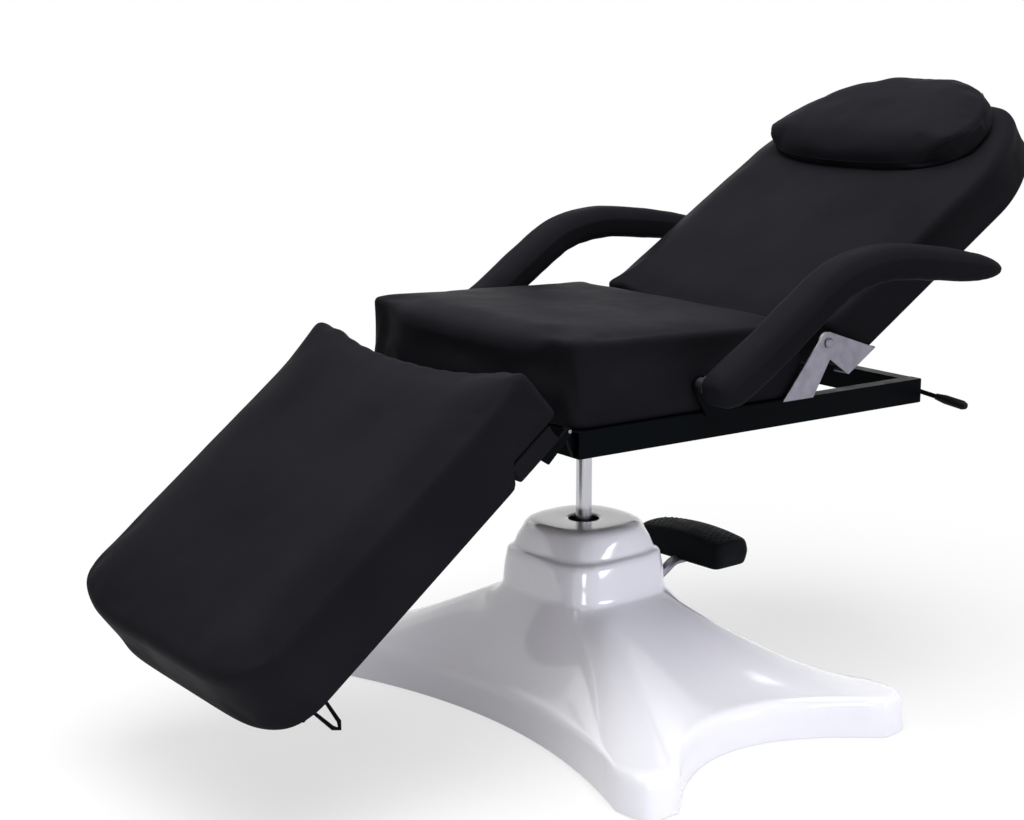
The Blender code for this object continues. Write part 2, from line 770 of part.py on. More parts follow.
def make_back_hinge(side, sign):
    pivot = (BACK_PIVOT_Y, BACK_PIVOT_Z)
    foot_z = RAIL_TOP - BRACKET_LAP
    outline = eye_outline((BRACKET_FOOT[0], foot_z), (BRACKET_FOOT[1], foot_z), pivot, BRACKET_EYE)
    hole = circle(pivot, RIVET_RADIUS + GAP)
    bracket = plate(f"back_bracket_{side}", [outline, hole], BRACKET_THICKNESS)
    bracket_x = RAIL_OUTER + GAP + BRACKET_THICKNESS / 2
    show(bracket, ZINC, BED, (sign * bracket_x, 0, 0), UPRIGHT)

    rear = BACK_REAR - GAP
    low = rear - BRACKET_THICKNESS
    plate_outline = eye_outline((PLATE_TOE, low), (PLATE_HEEL, low), (0, 0), BRACKET_EYE)
    hinge_plate = plate(f"back_plate_{side}", [plate_outline, circle((0, 0), RIVET_RADIUS + GAP)], BRACKET_THICKNESS)
    plate_x = RAIL_OUTER - BRACKET_THICKNESS / 2
    show(hinge_plate, ZINC, BACK, (sign * plate_x, 0, 0), UPRIGHT)
    edges = sorted((sign * (RAIL_OUTER - FLANGE_WIDTH), sign * RAIL_OUTER))
    flange = box(f"back_flange_{side}", (edges[0], PLATE_TOE, low), (edges[1], PLATE_HEEL, rear))
    combine(hinge_plate, aside(flange, BACK), "UNION")

    inner = plate_x - BRACKET_THICKNESS / 2
    outer = bracket_x + BRACKET_THICKNESS / 2 + GAP
    head = 0.004
    profile = (
        (0.0, outer + head),
        (RIVET_HEAD * 0.7, outer + head),
        (RIVET_HEAD, outer + head / 2),
        (RIVET_HEAD, outer),
        (RIVET_RADIUS, outer),
        (RIVET_RADIUS, inner),
        (0.0, inner),
    )
    rivet = turned(f"back_rivet_{side}", profile, closed=False, steps=20)
    show(rivet, ZINC, BED, (0, *pivot), (0, sign * math.pi / 2, 0))


def make_strut():
    z = RAIL_BOTTOM - STRUT_DROP
    low = -CROSS_HALF_SPACING - STRUT_REACH
    high = CROSS_HALF_SPACING + STRUT_REACH
    bore = STRUT_ROD + GAP
    nose = 0.003
    profile = (
        (STRUT_TUBE - nose, high + nose),
        (STRUT_TUBE, high),
        (STRUT_TUBE, low),
        (0.0, low),
        (0.0, low + STRUT_TUBE),
        (bore, low + STRUT_TUBE),
        (bore, high + nose),
    )
    show(turned("strut_tube", profile, steps=20), BLACK_STEEL, BED, (STRUT_X, 0, z), (-math.pi / 2, 0, 0))
    half = STRUT_TUBE + GAP + CLAMP_WALL
    top = STRUT_DROP - GAP
    outline = [(half, top), (-half, top)] + arc((0, 0), half, math.pi, 2 * math.pi, 12)
    for place, y in (("front", -CROSS_HALF_SPACING), ("rear", CROSS_HALF_SPACING)):
        clamp = plate(f"strut_clamp_{place}", [outline, circle((0, 0), STRUT_TUBE + GAP)], CLAMP_LENGTH)
        show(clamp, BLACK_STEEL, BED, (STRUT_X, y, z), ALONG_Y)

    crank_x = STRUT_X + STRUT_TUBE + CRANK_OFFSET
    pin_y = BACK_PIVOT_Y
    push_rod = rod("strut_rod", STRUT_ROD, (STRUT_X, high - STRUT_ENGAGED, z), (STRUT_X, pin_y, z), 20)
    show(push_rod, CHROME, BED)
    knuckle = rod("strut_knuckle", STRUT_KNUCKLE, (STRUT_X - STRUT_ROD, pin_y, z), (crank_x - GAP, pin_y, z), 20)
    combine(push_rod, aside(knuckle, BED), "UNION")
    pin_end = crank_x + CRANK_THICKNESS + STRUT_PIN / 2
    combine(push_rod, aside(rod("strut_pin", STRUT_PIN, (STRUT_X, pin_y, z), (pin_end, pin_y, z), 16), BED), "UNION")

    drop = BACK_PIVOT_Z - z
    heading = Vector((-math.sin(BACK_ANGLE), -math.cos(BACK_ANGLE)))
    margin = 0.001
    near = heading * (drop - margin)
    far = heading * (drop / math.cos(BACK_ANGLE) + margin)
    rear = BACK_REAR - GAP
    crank_outline = eye_outline((CRANK_FOOT[1], rear), (CRANK_FOOT[0], rear), far, CRANK_END)
    crank = plate("back_crank", [crank_outline], CRANK_THICKNESS)
    crank_place = (crank_x + CRANK_THICKNESS / 2, 0, 0)
    show(crank, ZINC, BACK, crank_place, UPRIGHT)
    opening = plate("crank_slot", [slot(near, far, STRUT_PIN + CRANK_PLAY)], 2 * CRANK_THICKNESS)
    combine(crank, aside(opening, BACK, crank_place, UPRIGHT), "DIFFERENCE")


def make_arm_mount(side, sign):
    pivot = (ARM_PIVOT_Y, ARM_PIVOT_Z)
    foot_z = RAIL_TOP - ARM_LAP
    inner = RAIL_OUTER + GAP
    outer = inner + ARM_BRACKET_THICKNESS
    arm_face = ARM_CENTRE_X - ARM_WIDTH / 2
    outline = eye_outline((ARM_FOOT[0], foot_z), (ARM_FOOT[1], foot_z), pivot, ARM_EYE)
    bracket = plate(f"arm_bracket_{side}", [outline], ARM_BRACKET_THICKNESS)
    show(bracket, BLACK_STEEL, BED, (sign * (inner + outer) / 2, 0, 0), UPRIGHT)
    stud_start = (sign * (inner + GAP), *pivot)
    stud = rod(f"arm_stud_{side}", ARM_STUD, stud_start, (sign * (arm_face + ARM_STUD_DEPTH), *pivot))
    combine(bracket, aside(stud, BED), "UNION")
    washer = arm_face - GAP
    profile = (
        (ARM_WASHER, washer),
        (ARM_WASHER, washer - ARM_WASHER_THICKNESS),
        (ARM_SPACER, washer - ARM_WASHER_THICKNESS),
        (ARM_SPACER, outer + GAP),
        (ARM_STUD + GAP, outer + GAP),
        (ARM_STUD + GAP, washer),
    )
    spacer = turned(f"arm_spacer_{side}", profile, steps=24)
    show(spacer, ZINC, BED, (0, *pivot), (0, sign * math.pi / 2, 0))


def make_leg_hinge(side, sign):
    axis = (LEG_HINGE_Y, LEG_HINGE_Z)
    face = RAIL_FRONT - GAP
    foot = ((face, RAIL_BOTTOM + RAIL_WALL), (face, RAIL_TOP - EAR_TOP))
    outline = eye_outline(*foot, axis, HINGE_EYE)
    ear = plate(f"leg_ear_{side}", [outline, circle(axis, HINGE_PIN + GAP, 16)], EAR_THICKNESS)
    show(ear, BLACK_STEEL, BED, (sign * EAR_CENTRE_X, 0, 0), UPRIGHT)
    strap_inner = EAR_CENTRE_X + EAR_THICKNESS / 2 + GAP
    under = LEG_UNDER - GAP
    tail = ((-STRAP_LENGTH, under), (STRAP_DEPTH / 2 - STRAP_LENGTH, under - 1.4 * STRAP_DEPTH))
    strap_outline = eye_outline(*tail, (0, 0), HINGE_EYE)
    strap = plate(f"leg_strap_{side}", [strap_outline, circle((0, 0), HINGE_PIN + GAP, 16)], STRAP_THICKNESS)
    show(strap, BLACK_STEEL, LEG, (sign * (strap_inner + STRAP_THICKNESS / 2), 0, 0), UPRIGHT)
    pin_start = (sign * (EAR_CENTRE_X - EAR_THICKNESS / 2 - GAP), *axis)
    pin_end = (sign * (strap_inner + STRAP_THICKNESS + GAP), *axis)
    show(rod(f"leg_pin_{side}", HINGE_PIN, pin_start, pin_end, 16), ZINC, BED)


def make_lever():
    bolt_start = RAIL_HEAD + GAP
    hub_half = LEVER_ROD + 0.0015
    hub_low = LEVER_Y - hub_half
    hub_high = LEVER_Y + hub_half
    head = 0.004
    profile = (
        (0.0, hub_high + GAP + head),
        (LEVER_HUB * 0.8, hub_high + GAP + head),
        (LEVER_HUB * 0.8, hub_high + GAP),
        (LEVER_BOLT, hub_high + GAP),
        (LEVER_BOLT, hub_low - GAP),
        (LEVER_HUB * 0.8, hub_low - GAP),
        (LEVER_HUB * 0.8, bolt_start),
        (0.0, bolt_start),
    )
    bolt = turned("lever_bolt", profile, closed=False, steps=20)
    show(bolt, ZINC, BED, (LEVER_X, 0, LEVER_Z), (-math.pi / 2, 0, 0))

    grip_start = LEVER_REACH
    depth = GRIP_LENGTH * 0.6
    arm = rod("lever_rod", LEVER_ROD, (-LEVER_TAIL, 0, 0), (grip_start + depth, 0, 0), 16)
    show(arm, BLACK_STEEL, LEVER)
    hub = rod("lever_hub", LEVER_HUB, (0, -hub_half, 0), (0, hub_half, 0), 20)
    combine(arm, aside(hub, LEVER), "UNION")
    bore = rod("lever_bore", LEVER_BOLT + GAP, (0, -2 * hub_half, 0), (0, 2 * hub_half, 0), 16)
    combine(arm, aside(bore, LEVER), "DIFFERENCE")
    inside = LEVER_ROD + GAP
    grip_end = grip_start + GRIP_LENGTH
    grip_profile = (
        (0.0, grip_end),
        (GRIP_RADIUS * 0.7, grip_end - GRIP_RADIUS * 0.15),
        (GRIP_RADIUS, grip_end - GRIP_RADIUS),
        (GRIP_RADIUS, grip_start + GRIP_LENGTH * 0.3),
        (GRIP_NECK, grip_start),
        (inside, grip_start),
        (inside, grip_start + depth + GAP),
        (0.0, grip_start + depth + GAP),
    )
    show(turned("lever_grip", grip_profile, steps=20), BLACK_PLASTIC, LEVER, (0, 0, 0), (0, math.pi / 2, 0))


def make_loop():
    outer = LOOP_HALF_WIDTH + LOOP_TRUNNION
    points = (
        (0.0, -outer, 0.0),
        (0.0, -LOOP_HALF_WIDTH, 0.0),
        (LOOP_LENGTH * 0.85, -LOOP_TIP_HALF, 0.0),
        (LOOP_LENGTH, 0.0, 0.0),
        (LOOP_LENGTH * 0.85, LOOP_TIP_HALF, 0.0),
        (0.0, LOOP_HALF_WIDTH, 0.0),
        (0.0, outer, 0.0),
    )
    handle = wire("pull_loop", points, LOOP_WIRE)
    smooth(handle, 50)
    show(handle, BLACK_STEEL, LOOP)
    half = LOOP_WIRE + GAP + CLIP_WALL
    reach = LOOP_HALF_WIDTH + LOOP_WIRE + GAP
    for place, sign in (("foot", -1), ("seat", 1)):
        ends = sorted((sign * reach, sign * (outer - GAP)))
        low = (LOOP_X - half, LOOP_Y + ends[0], LOOP_Z - half)
        clip = box(f"loop_clip_{place}", low, (LOOP_X + half, LOOP_Y + ends[1], LEG_UNDER - GAP))
        show(clip, BLACK_STEEL, LEG)
        bore_ends = ((LOOP_X, LOOP_Y - 2 * outer, LOOP_Z), (LOOP_X, LOOP_Y + 2 * outer, LOOP_Z))
        combine(clip, aside(rod(f"loop_bore_{place}", LOOP_WIRE + GAP, *bore_ends, 16), LEG), "DIFFERENCE")


# Pedestal


def base_outline(turn):
    """Distance from the ram axis to the rim: two long and two short hollow sides."""
    across = abs(math.cos(turn))
    along = abs(math.sin(turn))
    reach = BASE_WAIST_X
    for _ in range(60):
        side_x = BASE_WAIST_X + BASE_SPREAD_X * min(1.0, reach * along / BASE_FOOT_Y) ** 2
        side_y = BASE_WAIST_Y + BASE_SPREAD_Y * min(1.0, reach * across / BASE_FOOT_X) ** 2
        corner = (across / side_x) ** BASE_CORNER + (along / side_y) ** BASE_CORNER
        reach = (reach + corner ** (-1 / BASE_CORNER)) / 2
    return reach


def tower_outline(turn, half, power=TOWER_SQUARENESS):
    return half / (abs(math.cos(turn)) ** power + abs(math.sin(turn)) ** power) ** (1 / power)


def cover_rings(turn):
    """The cover from rim to ram hole at one turn, as (reach, height) pairs."""
    rim = base_outline(turn)
    shoulder = rim - 0.018
    rings = [(rim, COVER_LIFT), (rim - 0.003, COVER_SIDE * 0.68), (rim - 0.008, COVER_SIDE * 0.9)]
    rings.append((shoulder, COVER_SIDE))
    foot = tower_outline(turn, TOWER_FOOT_HALF)
    # the skirt rises early towards the feet and hollows out along the long sides
    power = 1.4 - 0.5 * abs(math.sin(turn)) ** 6
    for step in range(1, COVER_RINGS + 1):
        share = step / COVER_RINGS
        height = COVER_SIDE + (TOWER_FOOT - COVER_SIDE) * share**power
        rings.append((shoulder + (foot - shoulder) * share, height))
    walls = (
        (TOWER_FOOT_HALF - 0.003, TOWER_FOOT + 0.005),
        (TOWER_STEP_HALF + 0.002, TOWER_STEP - 0.007),
        (TOWER_STEP_HALF - 0.002, TOWER_STEP),
        (TOWER_STEP_HALF - 0.0095, TOWER_STEP + 0.004),
        (TOWER_TOP_HALF + 0.001, TOWER_TOP - 0.012),
        (TOWER_TOP_HALF - 0.0045, TOWER_TOP - 0.003),
        (TOWER_TOP_HALF - 0.0135, TOWER_TOP),
    )
    for half, height in walls:
        upper = max(0.0, height - TOWER_STEP) / (TOWER_TOP - TOWER_STEP)
        power = TOWER_SQUARENESS + (TOWER_TOP_SQUARENESS - TOWER_SQUARENESS) * min(1.0, upper * 1.5)
        rings.append((tower_outline(turn, half, power), height))
    rings.append((TOWER_HOLE, TOWER_TOP))
    return rings


def cover_turns():
    """Turns round the cover, closer together at the feet."""
    right = math.pi / 2
    foot = max((right * step / 400 for step in range(400)), key=base_outline)
    before, after = COVER_STEPS
    quarter = [foot * (1 - (1 - step / before) ** 1.6) for step in range(before)]
    quarter += [foot + (right - foot) * (step / after) ** 1.6 for step in range(after + 1)]
    half = quarter + [math.pi - turn for turn in reversed(quarter[:-1])]
    return half + [math.pi + turn for turn in half[1:-1]]


def make_cover():
    turns = cover_turns()
    shape = bmesh.new()
    columns = []
    for turn in turns:
        rings = cover_rings(turn)
        columns.append([shape.verts.new((r * math.cos(turn), r * math.sin(turn), z)) for r, z in rings])
    for first, second in zip(columns, columns[1:] + columns[:1]):
        for low in range(len(first) - 1):
            shape.faces.new((first[low], second[low], second[low + 1], first[low + 1]))
    cover = object_from("base_cover", shape)
    smooth(cover, 50)
    wall = cover.modifiers.new("wall", "SOLIDIFY")
    wall.thickness = COVER_WALL
    wall.offset = -1.0
    show(cover, GLOSS_WHITE, PEDESTAL)
    opening = box(
        "pedal_slot",
        (-SLOT_HALF_WIDTH, PEDAL_PIVOT_Y, SLOT_LOW),
        (SLOT_HALF_WIDTH, PEDAL_CENTRE_Y, TOWER_FOOT),
    )
    combine(cover, aside(opening, PEDESTAL), "DIFFERENCE")

    rim = [Vector((math.cos(turn), math.sin(turn))) * base_outline(turn) for turn in turns]
    inset = COVER_WALL + PLATE_CLEARANCE
    outline = []
    for before, point, after in zip(rim[-1:] + rim[:-1], rim, rim[1:] + rim[:1]):
        heading = (after - before).normalized()
        outline.append(point + Vector((-heading.y, heading.x)) * inset)
    show(plate("base_plate", [outline], BASE_PLATE), BLACK_STEEL, PEDESTAL, (0, 0, BASE_PLATE / 2))


def make_pump():
    floor = BASE_PLATE + GAP
    room = CYLINDER_RADIUS + GAP
    reservoir_top = CYLINDER_TOP - 0.006
    show(ring("pump_reservoir", RESERVOIR_RADIUS, room, floor, reservoir_top), BLACK_STEEL, PEDESTAL)
    bore = RAM_RADIUS + GAP
    profile = (
        (CYLINDER_RADIUS, CYLINDER_TOP),
        (CYLINDER_RADIUS, floor),
        (0.0, floor),
        (0.0, floor + CYLINDER_FLOOR),
        (bore, floor + CYLINDER_FLOOR),
        (bore, CYLINDER_TOP),
    )
    show(turned("ram_cylinder", profile), STEEL, PEDESTAL)
    gland_low = CYLINDER_TOP + GAP
    show(ring("gland_nut", GLAND_RADIUS, bore, gland_low, gland_low + GLAND_HEIGHT), ZINC, PEDESTAL)

    block_low = (-PUMP_HALF_WIDTH, RESERVOIR_RADIUS + GAP, floor)
    block = box("pump_block", block_low, (PUMP_HALF_WIDTH, PUMP_FAR, PUMP_HEIGHT))
    bevel(block, 0.003, 1)
    show(block, STEEL, PEDESTAL)
    bore_low = (0, PLUNGER_Y, PUMP_HEIGHT / 2)
    plunger_bore = rod("plunger_bore", PLUNGER_RADIUS + GAP, bore_low, (0, PLUNGER_Y, PUMP_HEIGHT * 2), 20)
    combine(block, aside(plunger_bore, PEDESTAL), "DIFFERENCE")
    plunger = rod("pump_plunger", PLUNGER_RADIUS, (0, PLUNGER_Y, PLUNGER_LOW), (0, PLUNGER_Y, PLUNGER_TOP), 20)
    show(plunger, CHROME, PEDESTAL)

    pivot = (PEDAL_PIVOT_Y, PEDAL_PIVOT_Z)
    clevis_low = PUMP_HEIGHT + GAP
    foot = ((PEDAL_PIVOT_Y - FULCRUM_FOOT, clevis_low), (PEDAL_PIVOT_Y + FULCRUM_EYE * 0.8, clevis_low))
    hole = circle(pivot, FULCRUM_PIN + GAP, 20)
    clevis_width = 2 * PUMP_HALF_WIDTH - 0.012
    clevis = plate("pedal_clevis", [eye_outline(*foot, pivot, FULCRUM_EYE), hole], clevis_width)
    show(clevis, STEEL, PEDESTAL, (0, 0, 0), UPRIGHT)
    half = PEDAL_HUB_HALF + GAP
    fork_low = (-half, 0, PEDAL_PIVOT_Z - PEDAL_HUB - 0.004)
    fork = box("clevis_slot", fork_low, (half, 2 * PEDAL_PIVOT_Y, 2 * PEDAL_PIVOT_Z))
    combine(clevis, aside(fork, PEDESTAL), "DIFFERENCE")
    pin_half = clevis_width / 2 + 0.002
    pin = rod("pedal_pin", FULCRUM_PIN, (-pin_half, *pivot), (pin_half, *pivot), 20)
    show(pin, ZINC, PEDESTAL)


def make_pedal():
    path = [(0.0, y, z) for y, z in ((0.0, 0.0), (0.046, 0.022), (0.091, 0.048))]
    path += [(0.0, 0.106, PEDAL_RISE - 0.003), (0.0, 0.116, PEDAL_RISE), (0.0, PEDAL_REACH, PEDAL_RISE)]
    arm = wire("pedal_arm", path, PEDAL_BAR)
    smooth(arm, 50)
    show(arm, ZINC, PEDAL)
    hub = rod("pedal_hub", PEDAL_HUB, (-PEDAL_HUB_HALF, 0, 0), (PEDAL_HUB_HALF, 0, 0))
    combine(arm, aside(hub, PEDAL), "UNION")
    reach = 2 * PEDAL_HUB_HALF
    bore = rod("pedal_bore", FULCRUM_PIN + GAP, (-reach, 0, 0), (reach, 0, 0), 20)
    combine(arm, aside(bore, PEDAL), "DIFFERENCE")
    width, depth, height = PEDAL_PAD
    low = PEDAL_RISE + PEDAL_BAR + GAP - PEDAL_SINK
    centre = PEDAL_CENTRE_Y - PEDAL_PIVOT_Y

    def form(u, v, w):
        top = 1 - 0.10 * v * v - 0.17 * u * u
        end = 1 - 0.06 * (w + 1) / 2
        return (u * width / 2 * end, centre + v * depth / 2, low + height * (w + 1) / 2 * (top if w > 0 else 1))

    tread = pad("pedal_pad", ((-0.94, -0.4, 0.4, 0.94), (-0.88, 0.88), (-0.85, 0.72)), form)
    show(tread, RUBBER, PEDAL)
    bar_end = PEDAL_REACH + GAP
    groove = rod("pedal_groove", PEDAL_BAR + GAP, (0, PEDAL_REACH / 2, PEDAL_RISE), (0, bar_end, PEDAL_RISE))
    combine(tread, aside(groove, PEDAL), "DIFFERENCE")


make_seat()
make_leg()
make_back()
make_rails()
make_swivel()
make_strut()
make_lever()
make_loop()
make_cover()
make_pump()
make_pedal()
for side_name, side_sign in SIDES:
    make_armrest(side_name, side_sign)
    make_arm_mount(side_name, side_sign)
    make_back_hinge(side_name, side_sign)
    make_leg_hinge(side_name, side_sign)
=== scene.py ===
"""The looks of the treatment bed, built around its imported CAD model.

Metres in the model's own frame: +Z up, the leg rest towards -Y, and +X the side nearest the camera.
The padded pieces, the moulded base cover and the pedal tread are made here as finer pieces in place
of the CAD solids. Every other CAD piece is shown as it is, with softened edges and a better finish.
"""

import json
import math

import bmesh
import bpy
from mathutils import Matrix, Vector, noise

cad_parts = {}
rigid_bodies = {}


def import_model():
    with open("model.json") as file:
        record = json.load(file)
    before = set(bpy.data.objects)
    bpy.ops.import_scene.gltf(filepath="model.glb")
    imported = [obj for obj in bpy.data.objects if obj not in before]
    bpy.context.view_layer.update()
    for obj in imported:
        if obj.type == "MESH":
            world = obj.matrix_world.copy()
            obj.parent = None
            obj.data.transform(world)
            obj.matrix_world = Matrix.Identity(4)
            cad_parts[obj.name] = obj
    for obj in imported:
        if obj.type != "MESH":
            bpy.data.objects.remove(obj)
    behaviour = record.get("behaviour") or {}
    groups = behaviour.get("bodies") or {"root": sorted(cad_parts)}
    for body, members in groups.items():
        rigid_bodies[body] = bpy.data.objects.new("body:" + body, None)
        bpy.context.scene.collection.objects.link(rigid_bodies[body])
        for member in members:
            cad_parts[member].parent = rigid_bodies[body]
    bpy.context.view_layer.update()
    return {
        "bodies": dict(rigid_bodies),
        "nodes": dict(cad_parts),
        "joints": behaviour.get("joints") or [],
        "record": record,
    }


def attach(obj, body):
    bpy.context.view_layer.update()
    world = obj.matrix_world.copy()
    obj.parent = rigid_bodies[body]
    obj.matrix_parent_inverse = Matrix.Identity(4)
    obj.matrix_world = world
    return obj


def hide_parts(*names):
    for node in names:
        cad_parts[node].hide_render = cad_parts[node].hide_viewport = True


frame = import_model()
NODES = frame["nodes"]
NODE_SLOTS = {entry["node"]: entry["material_slot"] for entry in frame["record"]["subparts"]}
JOINTS = {joint["name"]: Vector(joint["pos_m"]) for joint in frame["joints"] if "pos_m" in joint}
SIDES = (("left", 1), ("right", -1))

# Sizes of the pads, near those of the CAD solids
PAD_HALF_WIDTH = 0.296
PAD_INSET = 0.002
PAD_TOP_INSET = 0.001
PAD_UNDER_GAP = 0.0006
BOW_HALF_WIDTH = 0.235
EDGE_BOW = 0.023
CONTOUR_FADE = 0.07
RECESS_START = 0.010
RECESS_FADE = 0.005

SEAT_FRONT = -0.247
SEAT_REAR = 0.226
SEAT_BOTTOM = 0.5443
SEAT_TOP = 0.669
SEAT_CROWN = 0.006
SEAT_EDGE = 0.007
SEAT_ROLL = 0.019
SEAT_ROLL_DEPTH = 0.05
SEAT_TONGUE_FADE = 0.05
SEAT_TILT = 0.014
SEAT_FRONT_LIFT = 0.009

LEG_DROP = math.radians(38.6)
LEG_HALF_WIDTH = 0.300
LEG_LENGTH = 0.626
LEG_END = 0.003
LEG_UNDER = 0.0058
LEG_UNDER_GAP = 0.0004
LEG_THICKNESS = 0.117
LEG_CORNER = 0.055
LEG_BOLSTER = 0.005
LEG_BOLSTER_X = 0.215
LEG_BOLSTER_WIDTH = 0.06
LEG_TROUGH = 0.0015
LEG_TROUGH_WIDTH = 0.1
LEG_EDGE = 0.009
LEG_FOOT_ROLL = 0.012
LEG_ROLL_START = 0.06
LEG_ROLL_DEPTH = 0.05
LEG_SAG = 0.004
LEG_CORNER_LIFT = 0.014
LEG_HINGE_ZONE = 0.13
GATHER_START = 0.93
GATHER_DEPTH = 0.0012
GATHER_STEP = 0.047

BATTEN_LENGTH = 0.112
BATTEN_HEIGHT = 0.031
BATTEN_SLIT = 0.0025
BATTEN_UNDER_GAP = 0.0003
BATTEN_TOP_GAP = 0.0008
BATTEN_END_GAP = 0.001
# the step under the leg rest at the batten's end: where it starts, its length and two cuts beside it
BATTEN_STEP_START = 0.0015
BATTEN_STEP_LENGTH = 0.002
BATTEN_STEP_CUTS = (-0.0016, 0.0006)

BACK_ANGLE = math.radians(32.5)
BACK_LOW = 0.016
BACK_LENGTH = 0.647
BACK_BOW = 0.030
BACK_FACE = 0.027
BACK_REAR = -0.073
BACK_CROWN = 0.004
BACK_BAND = 0.070
BACK_BAND_FALL = 0.012
BACK_BAND_CURVE = 1.7
BACK_BAND_START = -0.01
BACK_BAND_FADE = 0.08
BACK_EDGE = 0.010
BACK_HEAD_ROLL = 0.006
BACK_ROLL_START = 0.40
BACK_ROLL_LENGTH = 0.15
SHOULDER_START = 0.450
SHOULDER_DRAW = 0.084
SHOULDER_CURVE = 1.8

PILLOW_LOW = 0.402
PILLOW_HEAD = 0.654
PILLOW_HALF_WIDTH = 0.240
PILLOW_INSET = 0.003
PILLOW_SHIFT = 0.014
PILLOW_TAPER = 0.150
PILLOW_BOW = 0.052
PILLOW_SEAT = 0.0343
PILLOW_SINK = 0.004
PILLOW_HEIGHT = 0.056
PILLOW_LEAN = 0.07
PILLOW_CROWN = 0.007
PILLOW_WEDGE = 0.020
PILLOW_NEAR_DROP = 0.005
PILLOW_FAR_DROP = 0.013
PILLOW_EDGE = 0.009
PILLOW_ROLL = 0.031
PILLOW_ROLL_HALF = 0.225
PILLOW_ROLL_FADE = 0.06
PILLOW_ROLL_SHARE = 0.14
PILLOW_ROLL_LENGTH = 0.30
PLEAT_START = 0.86
SEAM_RADIUS = 0.0006
SEAM_LIFT = 0.0002
SEAM_SIDES = 6

# Shares of a pad's height above which its sides and its top are worked
SIDE_SHARE = 0.3
TOP_SHARE = 0.99
# How finely the pads are cut: steps in from the edges, shares up the sides, and the step between
EDGE_STEPS = (0.0, 0.003, 0.007, 0.012, 0.018, 0.026, 0.036)
RISE_SHARES = (0.0, 0.07, 0.18, 0.32, 0.46, 0.60, 0.74, 0.86, 0.94, 1.0)
PAD_STEP = 0.013
PILLOW_STEP = 0.009
BATTEN_STEP = 0.016
PLUMP_FRAMES = 20

ARM_CENTRE_X = 0.365
ARM_WIDTH = 0.070
ARM_THICKNESS = 0.060
# heel, leg, bend, forearm and tip from the pivot, with how full the pad is at each
ARM_PATH = (
    (-0.029, -0.012, 0.30),
    (-0.023, -0.008, 0.66),
    (-0.012, 0.001, 0.93),
    (0.010, 0.015, 1.00),
    (0.084, 0.060, 1.00),
    (0.148, 0.104, 1.00),
    (0.227, 0.153, 1.00),
    (0.320, 0.171, 0.98),
    (0.426, 0.163, 0.95),
    (0.505, 0.152, 0.86),
    (0.555, 0.146, 0.66),
    (0.585, 0.142, 0.40),
    (0.600, 0.140, 0.14),
)
ARM_PATH_STEPS = 7
# right half of the arm's section under its seam, in half widths and half thicknesses
ARM_UNDER = ((1.0, 0.05), (0.985, -0.30), (0.96, -0.66), (0.87, -0.88), (0.70, -0.985), (0.36, -1.0))
ARM_SEAM = 0.22
ARM_DOME = 4.0
ARM_DOME_STEPS = 20
ARM_END_FULLNESS = 0.6
ARM_END_RING = 0.62
ARM_BEND_Y = 0.235
ARM_BEND_LENGTH = 0.075
ARM_TUCK = 0.0008
ARM_TUCK_STEP = 0.021
ARM_TUCK_FAINT = 0.35
ARM_DENT = 0.0011
ARM_DENT_SIZE = 0.05
ARM_SLACK = 0.0006
ARM_SLACK_SIZE = 0.018

BASE_YAW = math.radians(4.0)
BASE_WAIST_X = 0.356
BASE_FOOT_X = 0.410
BASE_SPREAD_X = 0.118
BASE_WAIST_Y = 0.207
BASE_FOOT_Y = 0.232
BASE_SPREAD_Y = 0.093
BASE_CORNER = 26.0
BASE_ROUNDS = 60
COVER_TURNS = 288
COVER_WALL = 0.004
COVER_SIDE = 0.066
COVER_SHOULDER = 0.018
# the rim's lower edge: in from the rim, and height
COVER_FOOT = ((0.0005, 0.001), (0.0, 0.004))
# the rim's side up to the shoulder: in from the rim, and share of the side's height
COVER_RIM = ((0.001, 0.3), (0.003, 0.68), (0.0048, 0.82), (0.009, 0.93), (COVER_SHOULDER, 1.0))
COVER_SHARP_ANGLE = math.radians(55)
SKIRT_START = 6
SKIRT_STEPS = 26
SKIRT_PASSES = 36
SKIRT_HOLLOW = 1.4
SKIRT_SIDE_FILL = 0.5
TOWER_FOOT = 0.190
TOWER_STEP = 0.262
TOWER_TOP = 0.312
TOWER_FOOT_HALF = 0.120
TOWER_STEP_HALF = 0.108
TOWER_TOP_HALF = 0.0965
TOWER_SQUARENESS = 4.0
TOWER_TOP_SQUARENESS = 2.5
TOWER_ROUNDING = 1.5
TOWER_HOLE = 0.0265
# half width and height of each ring of the tower, from its foot over the step to the top
TOWER_WALLS = (
    (TOWER_FOOT_HALF - 0.0025, TOWER_FOOT + 0.004),
    (TOWER_FOOT_HALF - 0.0045, TOWER_FOOT + 0.012),
    (TOWER_STEP_HALF + 0.006, TOWER_STEP - 0.036),
    (TOWER_STEP_HALF + 0.0025, TOWER_STEP - 0.012),
    (TOWER_STEP_HALF + 0.001, TOWER_STEP - 0.004),
    (TOWER_STEP_HALF - 0.002, TOWER_STEP - 0.0005),
    (TOWER_STEP_HALF - 0.005, TOWER_STEP + 0.0012),
    (TOWER_STEP_HALF - 0.0068, TOWER_STEP + 0.0030),
    (TOWER_STEP_HALF - 0.0076, TOWER_STEP + 0.008),
    (TOWER_TOP_HALF + 0.0026, TOWER_TOP - 0.028),
    (TOWER_TOP_HALF + 0.0002, TOWER_TOP - 0.016),
    (TOWER_TOP_HALF - 0.0024, TOWER_TOP - 0.0095),
    (TOWER_TOP_HALF - 0.0070, TOWER_TOP - 0.0042),
    (TOWER_TOP_HALF - 0.0130, TOWER_TOP - 0.0012),
    (TOWER_TOP_HALF - 0.020, TOWER_TOP),
    (TOWER_TOP_HALF - 0.038, TOWER_TOP),
)
